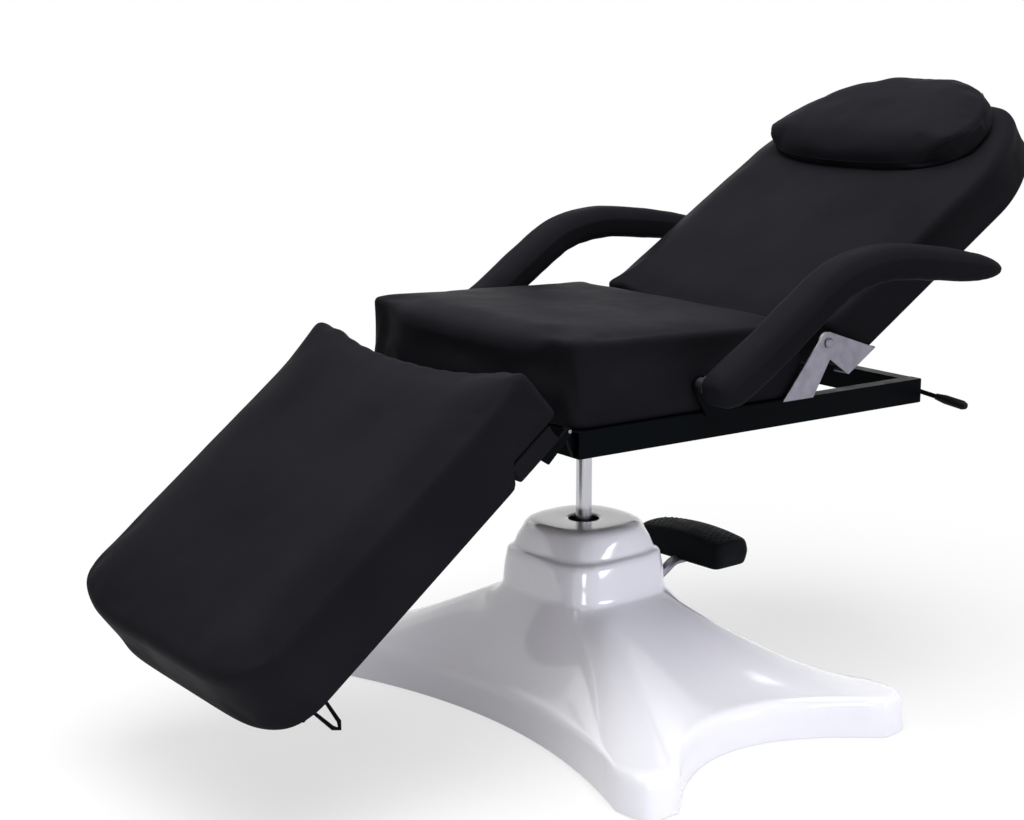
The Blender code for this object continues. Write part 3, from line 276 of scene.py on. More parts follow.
# the lip of the ram hole: out from the hole, and down from the top
TOWER_LIP = ((0.006, 0.0), (0.001, 0.0004), (0.0, 0.0016))
SLOT_SIZE = (0.028, 0.158, 0.078)
SLOT_CENTRE = (0, 0.183, 0.151)

PEDAL_PAD = (0.212, 0.082, 0.058)
PEDAL_CENTRE = 0.158
PEDAL_LOW = 0.0603
TREAD_CORNER = 0.016
TREAD_EDGE = 0.006
TREAD_UNDER_EDGE = 0.005
TREAD_TOP_WIDTH = 0.955
TREAD_UNDER_WIDTH = 0.93
TREAD_SWELL = 0.07
TREAD_NARROWING = 0.045
TREAD_ARCH_ACROSS = 0.17
TREAD_ARCH_ALONG = 0.10
TREAD_ACROSS_EDGES = (0.0, 0.003, 0.007, 0.013, 0.020)
TREAD_ACROSS_STEP = 0.010
TREAD_ALONG_EDGES = (0.0, 0.003, 0.007, 0.012)
TREAD_ALONG_STEP = 0.007
TREAD_RISE_SHARES = (0.0, 0.15, 0.35, 0.55, 0.75, 0.9, 1.0)
DOT_ROWS = 6
DOT_COLUMNS = 15
DOT_RADIUS = 0.0024
DOT_STEP = 0.0118
DOT_FIRST_ROW = -0.65
DOT_ROW_STEP = 0.26
DOT_FLATNESS = 0.55
DOT_SINK = 0.0008

# Edges of the CAD pieces that are shown as they are
EDGE_SOFTENING = 0.0004
WELD_GAP = 0.00002
SOFTEN_ANGLE = math.radians(35)

# Stage, light and camera
FLOOR_SIZE = 60.0
FLOOR_DROP = 0.0005
FLOOR_WHITE_NEAR = 0.64
FLOOR_SHADOW_REACH = 0.62
FLOOR_WHITE_REACH = 1.5
STUDIO_LIGHT = 0.20
WHITE = (1.0, 1.0, 1.0)
COOL = (0.84, 0.84, 1.0)
CAMERA_PLACE = (2.483, -1.9334, 1.1579)
CAMERA_DIP = 11.854
CAMERA_TURN = 54.31
CAMERA_LENS = 67.37

# The places of the folding and tilting pieces
SEAT_FRAME = Matrix.Identity(4)
LEG_FRAME = Matrix.Translation(JOINTS["leg_fold"]) @ Matrix.Rotation(LEG_DROP, 4, "X")
BACK_FRAME = Matrix.Translation(JOINTS["back_recline"]) @ Matrix.Rotation(BACK_ANGLE, 4, "X")
PILLOW_FRAME = BACK_FRAME @ Matrix.Translation((PILLOW_SHIFT, 0, 0))
BASE_FRAME = Matrix.Rotation(BASE_YAW, 4, "Z")
PEDAL_FRAME = Matrix.Translation(JOINTS["pedal_press"]) @ BASE_FRAME


# Finishes


def shader_of(material):
    return material.node_tree.nodes["Principled BSDF"]


def new_material(name, colour, roughness, metallic=0.0, specular=0.5):
    material = bpy.data.materials.new(name)
    material.use_nodes = True
    shader = shader_of(material)
    shader.inputs["Base Color"].default_value = (*colour, 1.0)
    shader.inputs["Roughness"].default_value = roughness
    shader.inputs["Metallic"].default_value = metallic
    shader.inputs["Specular IOR Level"].default_value = specular
    return material


def pattern(material, kind, scale, stretch=(1, 1, 1), detail=2.0):
    """A procedural pattern in the piece's own coordinates; its output runs from 0 to about 1."""
    tree = material.node_tree
    place = tree.nodes.new("ShaderNodeTexCoord")
    mapping = tree.nodes.new("ShaderNodeMapping")
    mapping.inputs["Scale"].default_value = stretch
    tree.links.new(place.outputs["Object"], mapping.inputs["Vector"])
    if kind == "cells":
        texture = tree.nodes.new("ShaderNodeTexVoronoi")
        texture.feature = "DISTANCE_TO_EDGE"
        output = texture.outputs["Distance"]
    else:
        texture = tree.nodes.new("ShaderNodeTexNoise")
        texture.inputs["Detail"].default_value = detail
        output = texture.outputs[0]
    texture.inputs["Scale"].default_value = scale
    tree.links.new(mapping.outputs["Vector"], texture.inputs["Vector"])
    return output


def in_range(material, value, low, high, start=0.3, end=0.7):
    """The value, taken from start and end to low and high."""
    tree = material.node_tree
    limit = tree.nodes.new("ShaderNodeMapRange")
    limit.inputs["From Min"].default_value = start
    limit.inputs["From Max"].default_value = end
    limit.inputs["To Min"].default_value = low
    limit.inputs["To Max"].default_value = high
    tree.links.new(value, limit.inputs["Value"])
    return limit.outputs["Result"]


def vary_roughness(material, value, low, high):
    tree = material.node_tree
    tree.links.new(in_range(material, value, low, high), shader_of(material).inputs["Roughness"])


def vary_colour(material, value, first, second):
    tree = material.node_tree
    mix = tree.nodes.new("ShaderNodeMix")
    mix.data_type = "RGBA"
    colours = [socket for socket in mix.inputs if socket.type == "RGBA"]
    colours[0].default_value = (*first, 1.0)
    colours[1].default_value = (*second, 1.0)
    tree.links.new(in_range(material, value, 0.0, 1.0), mix.inputs["Factor"])
    output = [socket for socket in mix.outputs if socket.type == "RGBA"][0]
    tree.links.new(output, shader_of(material).inputs["Base Color"])


def emboss(material, value, strength, depth):
    """Relief on the surface; several calls stack up."""
    tree = material.node_tree
    bump = tree.nodes.new("ShaderNodeBump")
    bump.inputs["Strength"].default_value = strength
    bump.inputs["Distance"].default_value = depth
    tree.links.new(value, bump.inputs["Height"])
    normal = shader_of(material).inputs["Normal"]
    if normal.is_linked:
        tree.links.new(normal.links[0].from_socket, bump.inputs["Normal"])
    tree.links.new(bump.outputs["Normal"], normal)


def make_vinyl():
    material = new_material("black_vinyl", (0.0110, 0.0104, 0.0130), 0.46, specular=0.005)
    clouds = pattern(material, "noise", 7.0, detail=3.0)
    vary_colour(material, clouds, (0.0098, 0.0092, 0.0117), (0.0123, 0.0117, 0.0144))
    vary_roughness(material, pattern(material, "noise", 11.0, detail=4.0), 0.42, 0.52)
    emboss(material, pattern(material, "cells", 620.0), 0.22, 0.0004)
    emboss(material, pattern(material, "noise", 900.0, detail=2.0), 0.10, 0.0003)
    emboss(material, pattern(material, "noise", 26.0, detail=2.0), 0.10, 0.002)
    return material


def make_gloss_white():
    material = new_material("white_plastic", (0.82, 0.82, 0.87), 0.08)
    shader_of(material).inputs["Coat Weight"].default_value = 0.35
    shader_of(material).inputs["Coat Roughness"].default_value = 0.06
    vary_roughness(material, pattern(material, "noise", 9.0, detail=3.0), 0.06, 0.11)
    emboss(material, pattern(material, "noise", 38.0, detail=1.0), 0.05, 0.001)
    return material


def make_black_paint():
    material = new_material("black_paint", (0.0022, 0.0032, 0.0042), 0.34, specular=0.015)
    vary_roughness(material, pattern(material, "noise", 30.0, detail=3.0), 0.30, 0.42)
    emboss(material, pattern(material, "noise", 700.0, detail=2.0), 0.12, 0.0004)
    return material


def make_zinc():
    material = new_material("zinc_plate", (0.205, 0.20, 0.2325), 0.36, 1.0)
    clouds = pattern(material, "noise", 45.0, detail=4.0)
    vary_colour(material, clouds, (0.175, 0.17, 0.20), (0.235, 0.23, 0.265))
    vary_roughness(material, pattern(material, "noise", 120.0, (1, 1, 6), 3.0), 0.28, 0.42)
    emboss(material, pattern(material, "noise", 400.0, (1, 1, 5)), 0.06, 0.0003)
    return material


def make_chrome():
    material = new_material("chrome", (0.50, 0.50, 0.54), 0.08, 1.0)
    vary_roughness(material, pattern(material, "noise", 60.0, (1, 1, 0.2), 2.0), 0.15, 0.23)
    emboss(material, pattern(material, "noise", 500.0, (1, 1, 0.1)), 0.02, 0.0002)
    return material


def make_bare_steel():
    material = new_material("bare_steel", (0.66, 0.66, 0.69), 0.4, 1.0)
    vary_roughness(material, pattern(material, "noise", 90.0, (1, 4, 1), 4.0), 0.32, 0.48)
    emboss(material, pattern(material, "noise", 600.0), 0.06, 0.0003)
    return material


def make_rubber():
    material = new_material("black_rubber", (0.0055, 0.0070, 0.0080), 0.55, specular=0.03)
    vary_roughness(material, pattern(material, "noise", 50.0, detail=3.0), 0.50, 0.66)
    emboss(material, pattern(material, "noise", 1400.0), 0.12, 0.0003)
    return material


def make_black_plastic():
    material = new_material("black_plastic", (0.005, 0.005, 0.006), 0.36, specular=0.06)
    vary_roughness(material, pattern(material, "noise", 80.0, detail=2.0), 0.32, 0.46)
    emboss(material, pattern(material, "noise", 1500.0), 0.08, 0.0002)
    return material


def make_plywood():
    material = new_material("plywood", (0.15, 0.11, 0.075), 0.68)
    grain = pattern(material, "noise", 14.0, (9, 1, 9), 5.0)
    vary_colour(material, grain, (0.11, 0.08, 0.055), (0.19, 0.145, 0.10))
    emboss(material, pattern(material, "noise", 120.0, (8, 1, 8)), 0.15, 0.0005)
    return material


def make_bronze():
    material = new_material("bronze", (0.45, 0.30, 0.14), 0.35, 1.0)
    vary_roughness(material, pattern(material, "noise", 200.0), 0.28, 0.42)
    return material


FINISHES = {
    "black_vinyl": make_vinyl(),
    "black_paint": make_black_paint(),
    "zinc_plate": make_zinc(),
    "chrome": make_chrome(),
    "plywood": make_plywood(),
    "black_plastic": make_black_plastic(),
    "bare_steel": make_bare_steel(),
    "black_rubber": make_rubber(),
    "white_plastic": make_gloss_white(),
    "bronze": make_bronze(),
}


# Making pieces


def object_from(name, shape, place=None, finish=None):
    mesh = bpy.data.meshes.new(name)
    shape.to_mesh(mesh)
    shape.free()
    if place is not None:
        mesh.transform(place)
    mesh.polygons.foreach_set("use_smooth", [True] * len(mesh.polygons))
    item = bpy.data.objects.new(name, mesh)
    bpy.context.scene.collection.objects.link(item)
    if finish is not None:
        mesh.materials.append(finish)
    return item


def subdivide(item):
    soften = item.modifiers.new("soften", "SUBSURF")
    soften.levels = 1
    soften.render_levels = 1


def ease(value):
    """A smooth step from 0 to 1."""
    value = min(1.0, max(0.0, value))
    return value * value * (3 - 2 * value)


def smooth_path(points, steps):
    """Points on a smooth curve through the given ones."""
    ends = [Vector(points[0]) * 2 - Vector(points[1])]
    ends += [Vector(point) for point in points]
    ends += [Vector(points[-1]) * 2 - Vector(points[-2])]
    path = []
    for before, first, second, after in zip(ends, ends[1:], ends[2:], ends[3:]):
        for step in range(steps):
            share = step / steps
            bend = (second - before) * share
            bend += (before * 2 - first * 5 + second * 4 - after) * share**2
            bend += (first * 3 - before - second * 3 + after) * share**3
            path.append(first + bend / 2)
    return path + [ends[-2]]


def spread(half, edges, step):
    """Shares from -1 to 1, closest together near both ends."""
    inner = half - edges[-1]
    count = max(2, round(2 * inner / step))
    middle = [inner * (2 * index / count - 1) for index in range(count + 1)]
    low = [edge - half for edge in edges[:-1]]
    return [value / half for value in low + middle + [-value for value in reversed(low)]]


def join_rings(shape, first, second):
    """A band of quads between two closed rings of corners."""
    for step in range(len(first)):
        after = (step + 1) % len(first)
        shape.faces.new((first[step], first[after], second[after], second[step]))


def lattice(across, along, through, place):
    """A closed skin of quads over a box of shares, and the number of each corner."""
    shape = bmesh.new()
    corners = {}

    def corner(key):
        if key not in corners:
            i, j, k = key
            corners[key] = shape.verts.new(place(across[i], along[j], through[k]))
        return corners[key]

    def quad(*keys):
        shape.faces.new([corner(key) for key in keys])

    ends = (len(across) - 1, len(along) - 1, len(through) - 1)
    for k in (0, ends[2]):
        for i in range(ends[0]):
            for j in range(ends[1]):
                quad((i, j, k), (i + 1, j, k), (i + 1, j + 1, k), (i, j + 1, k))
    for j in (0, ends[1]):
        for i in range(ends[0]):
            for k in range(ends[2]):
                quad((i, j, k), (i + 1, j, k), (i + 1, j, k + 1), (i, j, k + 1))
    for i in (0, ends[0]):
        for j in range(ends[1]):
            for k in range(ends[2]):
                quad((i, j, k), (i, j + 1, k), (i, j + 1, k + 1), (i, j, k + 1))
    bmesh.ops.recalc_face_normals(shape, faces=shape.faces)
    shape.verts.index_update()
    numbers = {key: vertex.index for key, vertex in corners.items()}
    return shape, numbers


class Cushion:
    """A box-like pad: its plan, its heights and how its edges are rounded."""

    def __init__(self, name, frame, half, low, high, under, top, **more):
        self.name = name
        self.frame = frame
        self.half = half
        self.low = low
        self.high = high
        self.under = under
        self.top = top
        self.round_top = more.get("round_top")
        self.round_under = more.get("round_under", 0.006)
        self.corner = more["corner"]
        self.low_corner = more["low_corner"]
        self.draw_in = more.get("draw_in", 0.003)
        self.recess = more.get("recess", 0.004)
        self.contour = more.get("contour", lambda x, y: 0.0)
        self.fall = more.get("fall", lambda x, y: 0.0)
        self.lean = more.get("lean", 0.0)
        self.extra_along = more.get("extra_along", ())
        self.edge_round = more.get("edge_round")

    def plan(self, u, v):
        """Place in plan at the shares u across and v along, and half the length there."""
        y = 0.0
        x = u * self.half(0.0)
        for _ in range(3):
            low = self.low(x)
            high = self.high(x)
            y = low + (high - low) * (v + 1) / 2
            x = u * self.half(y)
        return x, y, (high - low) / 2

    def place(self, u, v, w):
        x, y, z = self.upright(u, v, w)
        return (x + self.lean * (y - (self.low(0.0) + self.high(0.0)) / 2), y, z)

    def upright(self, u, v, w):
        """A point of the skin before the pad leans: top, underside or side by the share w."""
        x, y, half_length = self.plan(u, v)
        half = self.half(y)
        side = (1 - abs(u)) * half
        end = (1 - abs(v)) * half_length
        inside = min(side, end)
        turn = (math.copysign(1, u), 0.0) if side < end else (0.0, math.copysign(1, v))
        corner = self.low_corner if v < 0 else self.corner
        if side < corner and end < corner:
            reach = (corner - side, corner - end)
            length = math.hypot(*reach)
            scale = max(reach) / length
            turn = (math.copysign(reach[0] / length, u), math.copysign(reach[1] / length, v))
            side = corner - reach[0] * scale
            end = corner - reach[1] * scale
            u = math.copysign(1 - side / half, u)
            v = math.copysign(1 - end / half_length, v)
            x, y, _ = self.plan(u, v)
        round_top = self.edge_round(x, y) if self.edge_round else self.round_top
        under = self.under(y)
        top = self.top - self.fall(x, y)
        if w == 1:
            drop = max(0.0, round_top - inside)
            z = top - round_top + math.sqrt(max(0.0, round_top**2 - drop**2))
            z += self.contour(x, y) * ease(inside / CONTOUR_FADE)
            return (x, y, z)
        if w == 0:
            drop = max(0.0, self.round_under - inside)
            z = under + self.round_under - math.sqrt(max(0.0, self.round_under**2 - drop**2))
            z += self.recess * ease((inside - RECESS_START) / RECESS_FADE)
            return (x, y, z)
        low = under + self.round_under
        high = top - round_top
        pull = self.draw_in * 4 * w * (1 - w)
        return (x - turn[0] * pull, y - turn[1] * pull, low + (high - low) * w)

    def build(self, step):
        half = max(self.half(self.low(0.0)), self.half((self.low(0.0) + self.high(0.0)) / 2))
        across = spread(half, EDGE_STEPS, step)
        half_length = (self.high(0.0) - self.low(0.0)) / 2
        along = sorted(spread(half_length, EDGE_STEPS, step) + list(self.extra_along))
        shape, self.numbers = lattice(across, along, RISE_SHARES, self.place)
        self.size = (len(across) - 1, len(along) - 1, len(RISE_SHARES) - 1)
        self.item = object_from(self.name, shape, self.frame, FINISHES["black_vinyl"])

    def top_ring(self):
        """Corner numbers round the edge of the top."""
        i_end, j_end, k = self.size
        keys = [(i, 0, k) for i in range(i_end)]
        keys += [(i_end, j, k) for j in range(j_end)]
        keys += [(i, j_end, k) for i in range(i_end, 0, -1)]
        keys += [(0, j, k) for j in range(j_end, 0, -1)]
        return [self.numbers[key] for key in keys]


def plump(cushions):
    """Blow the covers up a little with cloth, held at their undersides, and keep the result."""
    scene = bpy.context.scene
    for cushion, _ in cushions:
        item = cushion.item
        held = item.vertex_groups.new(name="held")
        held.add([n for (i, j, k), n in cushion.numbers.items() if k <= 1], 1.0, "REPLACE")
        cloth = item.modifiers.new("cover", "CLOTH")
        cloth.settings.quality = 5
        cloth.settings.mass = 0.25
        cloth.settings.tension_stiffness = 22
        cloth.settings.compression_stiffness = 22
        cloth.settings.shear_stiffness = 8
        cloth.settings.bending_stiffness = 0.8
        cloth.settings.use_pressure = True
        cloth.settings.uniform_pressure_force = 4.0
        cloth.settings.vertex_group_mass = "held"
        cloth.settings.effector_weights.gravity = 0.0
        cloth.point_cache.frame_start = 1
        cloth.point_cache.frame_end = PLUMP_FRAMES
    scene.frame_start = 1
    scene.frame_end = PLUMP_FRAMES
    for number in range(1, PLUMP_FRAMES + 1):
        scene.frame_set(number)
    graph = bpy.context.evaluated_depsgraph_get()
    for cushion, most in cushions:
        item = cushion.item
        settled = [vertex.co.copy() for vertex in item.evaluated_get(graph).data.vertices]
        item.modifiers.remove(item.modifiers["cover"])
        item.vertex_groups.clear()
        for vertex, goal in zip(item.data.vertices, settled):
            move = goal - vertex.co
            if move.length > 1e-7:
                vertex.co += move.normalized() * most * math.tanh(move.length / most)
    scene.frame_set(1)


def work(cushion, relief):
    """Push each point of a pad along its normal by relief(u, v, w, point), in metres."""
    mesh = cushion.item.data
    normals = [vertex.normal.copy() for vertex in mesh.vertices]
    inverse = cushion.frame.inverted()
    i_end, j_end, k_end = cushion.size
    for (i, j, k), number in cushion.numbers.items():
        vertex = mesh.vertices[number]
        local = inverse @ vertex.co
        vertex.co += normals[number] * relief(i / i_end, j / j_end, k / k_end, local)


def finish_pad(item, body, node):
    subdivide(item)
    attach(item, body)
    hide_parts(node)


# Upholstery


def bow(across, power=2.5):
    return max(0.0, 1.0 - abs(across / BOW_HALF_WIDTH) ** power)


def ripple(point, size, offset):
    """A soft random field between about -1 and 1."""
    return noise.noise(point / size + Vector((offset, offset * 0.7, -offset)))


def stretched(point, x, y, z):
    return Vector((point.x * x, point.y * y, point.z * z))


def seat_contour(x, y):
    return SEAT_CROWN * (1 - (x / PAD_HALF_WIDTH) ** 4)


def seat_edge(x, y):
    """The front rolls over in a wide tongue between two crisp corners."""
    tongue = ease((BOW_HALF_WIDTH - abs(x)) / SEAT_TONGUE_FADE)
    return SEAT_EDGE + SEAT_ROLL * tongue * ease((SEAT_FRONT + SEAT_ROLL_DEPTH - y) / SEAT_ROLL_DEPTH)


def seat_fall(x, y):
    """The top stands highest in front."""
    return SEAT_TILT * (y - SEAT_FRONT) / (SEAT_REAR - SEAT_FRONT) - SEAT_FRONT_LIFT


seat = Cushion(
    "seat_pad",
    SEAT_FRAME,
    lambda y: PAD_HALF_WIDTH - PAD_INSET,
    lambda x: SEAT_FRONT + PAD_INSET - EDGE_BOW * bow(x, 4.0),
    lambda x: SEAT_REAR - PAD_INSET,
    lambda y: SEAT_BOTTOM + PAD_UNDER_GAP,
    SEAT_TOP - PAD_TOP_INSET,
    fall=seat_fall,
    contour=seat_contour,
    corner=0.012,
    low_corner=0.024,
    edge_round=seat_edge,
)


def leg_under(y):
    step = ease((y + BATTEN_LENGTH + BATTEN_STEP_START) / BATTEN_STEP_LENGTH)
    return LEG_UNDER + LEG_UNDER_GAP + (BATTEN_HEIGHT + BATTEN_SLIT) * step


def leg_contour(x, y):
    """Two low side bolsters with a shallow trough between them."""
    bolster = math.exp(-(((abs(x) - LEG_BOLSTER_X) / LEG_BOLSTER_WIDTH) ** 2))
    return LEG_BOLSTER * bolster - LEG_TROUGH * math.exp(-((x / LEG_TROUGH_WIDTH) ** 2))


def leg_edge(x, y):
    """The foot end is rounded more than the long sides."""
    return LEG_EDGE + LEG_FOOT_ROLL * ease((LEG_ROLL_START - LEG_LENGTH - y) / LEG_ROLL_DEPTH)


def leg_share(y):
    """Share along the middle of the leg rest at which it is y from the hinge."""
    half_length = (LEG_LENGTH + LEG_END - EDGE_BOW) / 2
    return (y + LEG_LENGTH - PAD_INSET) / half_length - 1


def leg_fall(x, y):
    """The two corners at the hinge stand up and the edge between them sags a little."""
    across = abs(x / LEG_HALF_WIDTH)
    return (LEG_SAG - LEG_CORNER_LIFT * across**3) * ease((y + LEG_HINGE_ZONE) / LEG_HINGE_ZONE)


leg = Cushion(
    "leg_pad",
    LEG_FRAME,
    lambda y: LEG_HALF_WIDTH - PAD_INSET,
    lambda x: PAD_INSET - LEG_LENGTH + LEG_CORNER * abs(x / LEG_HALF_WIDTH) ** 6,
    lambda x: LEG_END - PAD_INSET - EDGE_BOW * bow(x),
    leg_under,
    LEG_UNDER + LEG_THICKNESS - PAD_TOP_INSET,
    contour=leg_contour,
    fall=leg_fall,
    draw_in=-0.001,
    corner=0.016,
    low_corner=0.034,
    edge_round=leg_edge,
    round_under=0.003,
    extra_along=[leg_share(cut - BATTEN_LENGTH) for cut in BATTEN_STEP_CUTS],
)


def back_half(y):
    past = max(0.0, y - SHOULDER_START) / (BACK_LENGTH - SHOULDER_START)
    return PAD_HALF_WIDTH - PAD_INSET - SHOULDER_DRAW * past**SHOULDER_CURVE


def back_contour(x, y):
    return BACK_CROWN * (1 - (x / PAD_HALF_WIDTH) ** 2)


def back_fall(x, y):
    """A flat band along each side slopes away from the face."""
    share = max(0.0, (abs(x) - back_half(y) + BACK_BAND) / BACK_BAND)
    return BACK_BAND_FALL * share**BACK_BAND_CURVE * ease((y - BACK_BAND_START) / BACK_BAND_FADE)


def back_edge(x, y):
    """The head end is rounded more than the rest."""
    return BACK_EDGE + BACK_HEAD_ROLL * ease((y - BACK_ROLL_START) / BACK_ROLL_LENGTH)


back = Cushion(
    "back_pad",
    BACK_FRAME,
    back_half,
    lambda x: BACK_LOW + PAD_INSET - BACK_BOW * bow(x),
    lambda x: BACK_LENGTH - PAD_INSET,
    lambda y: BACK_REAR + PAD_UNDER_GAP,
    BACK_FACE - PAD_TOP_INSET,
    contour=back_contour,
    fall=back_fall,
    draw_in=0.001,
    corner=0.026,
    low_corner=0.016,
    edge_round=back_edge,
)


def pillow_share(y):
    """Share of the way from the pillow's front to its head end."""
    return min(1.0, max(0.0, (y - PILLOW_LOW) / (PILLOW_HEAD - PILLOW_LOW)))


def pillow_half(y):
    return PILLOW_HALF_WIDTH - PILLOW_INSET - PILLOW_TAPER * pillow_share(y) ** 4


def pillow_contour(x, y):
    across = 1 - abs(x / pillow_half(y)) ** 3
    return PILLOW_CROWN * max(0.0, across) * (1 - (2 * pillow_share(y) - 1) ** 2)


def pillow_fall(x, y):
    """The pillow is a wedge, thinnest at the head end, and its two ends drop."""
    drop = PILLOW_NEAR_DROP if x > 0 else PILLOW_FAR_DROP
    return PILLOW_WEDGE * pillow_share(y) + drop * min(1.0, abs(x / pillow_half(y))) ** 5


def pillow_edge(x, y):
    """The front rolls over widely; the ends and the head are crisp."""
    across = ease((PILLOW_ROLL_HALF - abs(x)) / PILLOW_ROLL_FADE)
    front = 1 - ease((pillow_share(y) - PILLOW_ROLL_SHARE) / PILLOW_ROLL_LENGTH)
    return PILLOW_EDGE + PILLOW_ROLL * across * front


pillow = Cushion(
    "head_pad",
    PILLOW_FRAME,
    pillow_half,
    lambda x: PILLOW_LOW + PILLOW_INSET + PILLOW_BOW * abs(x / PILLOW_HALF_WIDTH) ** 3,
    lambda x: PILLOW_HEAD - PILLOW_INSET,
    lambda y: PILLOW_SEAT - PILLOW_SINK,
    PILLOW_SEAT + PILLOW_HEIGHT,
    contour=pillow_contour,
    fall=pillow_fall,
    lean=PILLOW_LEAN,
    corner=0.034,
    low_corner=0.040,
    edge_round=pillow_edge,
    round_under=0.005,
    draw_in=-0.001,
    recess=0.0,
)

batten = Cushion(
    "leg_hinge_pad",
    LEG_FRAME,
    lambda y: LEG_HALF_WIDTH - PAD_INSET,
    lambda x: -BATTEN_LENGTH,
    lambda x: LEG_END - EDGE_BOW - BATTEN_END_GAP,
    lambda y: LEG_UNDER + BATTEN_UNDER_GAP,
    LEG_UNDER + BATTEN_HEIGHT + BATTEN_TOP_GAP,
    corner=0.006,
    low_corner=0.002,
    round_top=0.002,
    round_under=0.003,
    draw_in=0.001,
    recess=0.0,
)

seat.build(PAD_STEP)
leg.build(PAD_STEP)
back.build(PAD_STEP)
pillow.build(PILLOW_STEP)
batten.build(BATTEN_STEP)
# each cover with the most that it may swell
plump([(seat, 0.005), (leg, 0.005), (back, 0.005), (pillow, 0.004), (batten, 0.001)])


def seat_relief(u, v, w, point):
    """Soft dents of about 1 mm, and shallow waves up the sides."""
    if w < SIDE_SHARE:
        return 0.0
    soft = 0.0012 * ripple(point, 0.09, 1.0) + 0.0006 * ripple(point, 0.035, 2.0)
    if w > TOP_SHARE:
        return soft
    side = 0.0014 * ripple(stretched(point, 1, 1, 0.4), 0.045, 5.0)
    return soft + side * math.sin(math.pi * w)


def leg_relief(u, v, w, point):
    """Long soft dents, and small gathers along the hinge edge."""
    if w < SIDE_SHARE:
        return 0.0
    soft = 0.0007 * ripple(stretched(point, 1, 0.5, 1), 0.08, 3.0)
    soft += 0.0004 * ripple(point, 0.03, 4.0)
    hinge = ease((v - GATHER_START) / (1 - GATHER_START)) * (w > 0.5)
    return soft + GATHER_DEPTH * math.sin(point.x * 2 * math.pi / GATHER_STEP + 0.6) * hinge


def back_relief(u, v, w, point):
    """Long soft dents."""
    if w < SIDE_SHARE:
        return 0.0
    soft = 0.0009 * ripple(stretched(point, 1, 0.5, 1), 0.09, 7.0)
    return soft + 0.0004 * ripple(point, 0.03, 8.0)


def pillow_relief(u, v, w, point):
    """Soft dents, pleats at both ends and fine pleats at the head, all fainter underneath."""
    soft = 0.0016 * ripple(point, 0.05, 11.0)
    end = ease((abs(2 * u - 1) - PLEAT_START) / (1 - PLEAT_START))
    pleat = 0.0028 * ripple(stretched(point, 0.3, 2.6, 0.5), 0.024, 12.0) * end
    head = ease((v - PLEAT_START) / (1 - PLEAT_START))
    pleat += 0.0010 * ripple(stretched(point, 2.0, 0.4, 1), 0.030, 13.0) * head
    return (soft + pleat) * (0.35 if w < 0.2 else 1.0)


work(seat, seat_relief)
work(leg, leg_relief)
work(back, back_relief)
work(pillow, pillow_relief)


def pillow_seam():
    """A fine raised seam round the edge of the pillow's top."""
    corners = [pillow.item.data.vertices[number] for number in pillow.top_ring()]
    points = [vertex.co + vertex.normal * SEAM_LIFT for vertex in corners]
    shape = bmesh.new()
    rings = []
    for index, point in enumerate(points):
        heading = (points[(index + 1) % len(points)] - points[index - 1]).normalized()
        aside = heading.cross(Vector((0.13, 0.21, 0.97))).normalized()
        other = heading.cross(aside)
        ring = []
        for side in range(SEAM_SIDES):
            turn = 2 * math.pi * side / SEAM_SIDES
            outward = aside * math.cos(turn) + other * math.sin(turn)
            ring.append(shape.verts.new(point + outward * SEAM_RADIUS))
        rings.append(ring)
    for first, second in zip(rings, rings[1:] + rings[:1]):
        join_rings(shape, first, second)
    bmesh.ops.recalc_face_normals(shape, faces=shape.faces)
    item = object_from("head_pad_seam", shape, None, FINISHES["black_vinyl"])
    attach(item, "backrest")


pillow_seam()

finish_pad(seat.item, "seat_frame", "seat_cushion")
finish_pad(leg.item, "leg_rest", "leg_cushion")
finish_pad(back.item, "backrest", "back_cushion")
finish_pad(pillow.item, "backrest", "head_pillow")
finish_pad(batten.item, "leg_rest", "leg_hinge_batten")


def arm_section():
    """Points round the arm: a domed top between two seams, then the boxy underside."""
    section = []
    for step in range(ARM_DOME_STEPS + 1):
        across = math.cos(math.pi * step / ARM_DOME_STEPS)
        section.append((across, ARM_SEAM + (1 - ARM_SEAM) * (1 - abs(across) ** ARM_DOME)))
    section += [(-across, rise) for across, rise in ARM_UNDER]
    section.append((0.0, -1.0))
    section += reversed(ARM_UNDER)
    return section


def arm_relief(point, rise, length, sign):
    """Small tucks under the bend, soft dents and slack, in metres."""
    below = ease((-rise - 0.1) / 0.7)
    bend = math.exp(-(((point.y - ARM_BEND_Y) / ARM_BEND_LENGTH) ** 2))
    tuck = ARM_TUCK * below * (ARM_TUCK_FAINT + bend) * math.sin(length * 2 * math.pi / ARM_TUCK_STEP)
    dent = ARM_DENT * noise.noise(Vector((sign * 3 + point.x, point.y, point.z)) / ARM_DENT_SIZE)
    slack = ARM_SLACK * noise.noise(Vector((sign * 7 + point.x, point.y, point.z)) / ARM_SLACK_SIZE)
    return tuck + dent + slack - ARM_SLACK


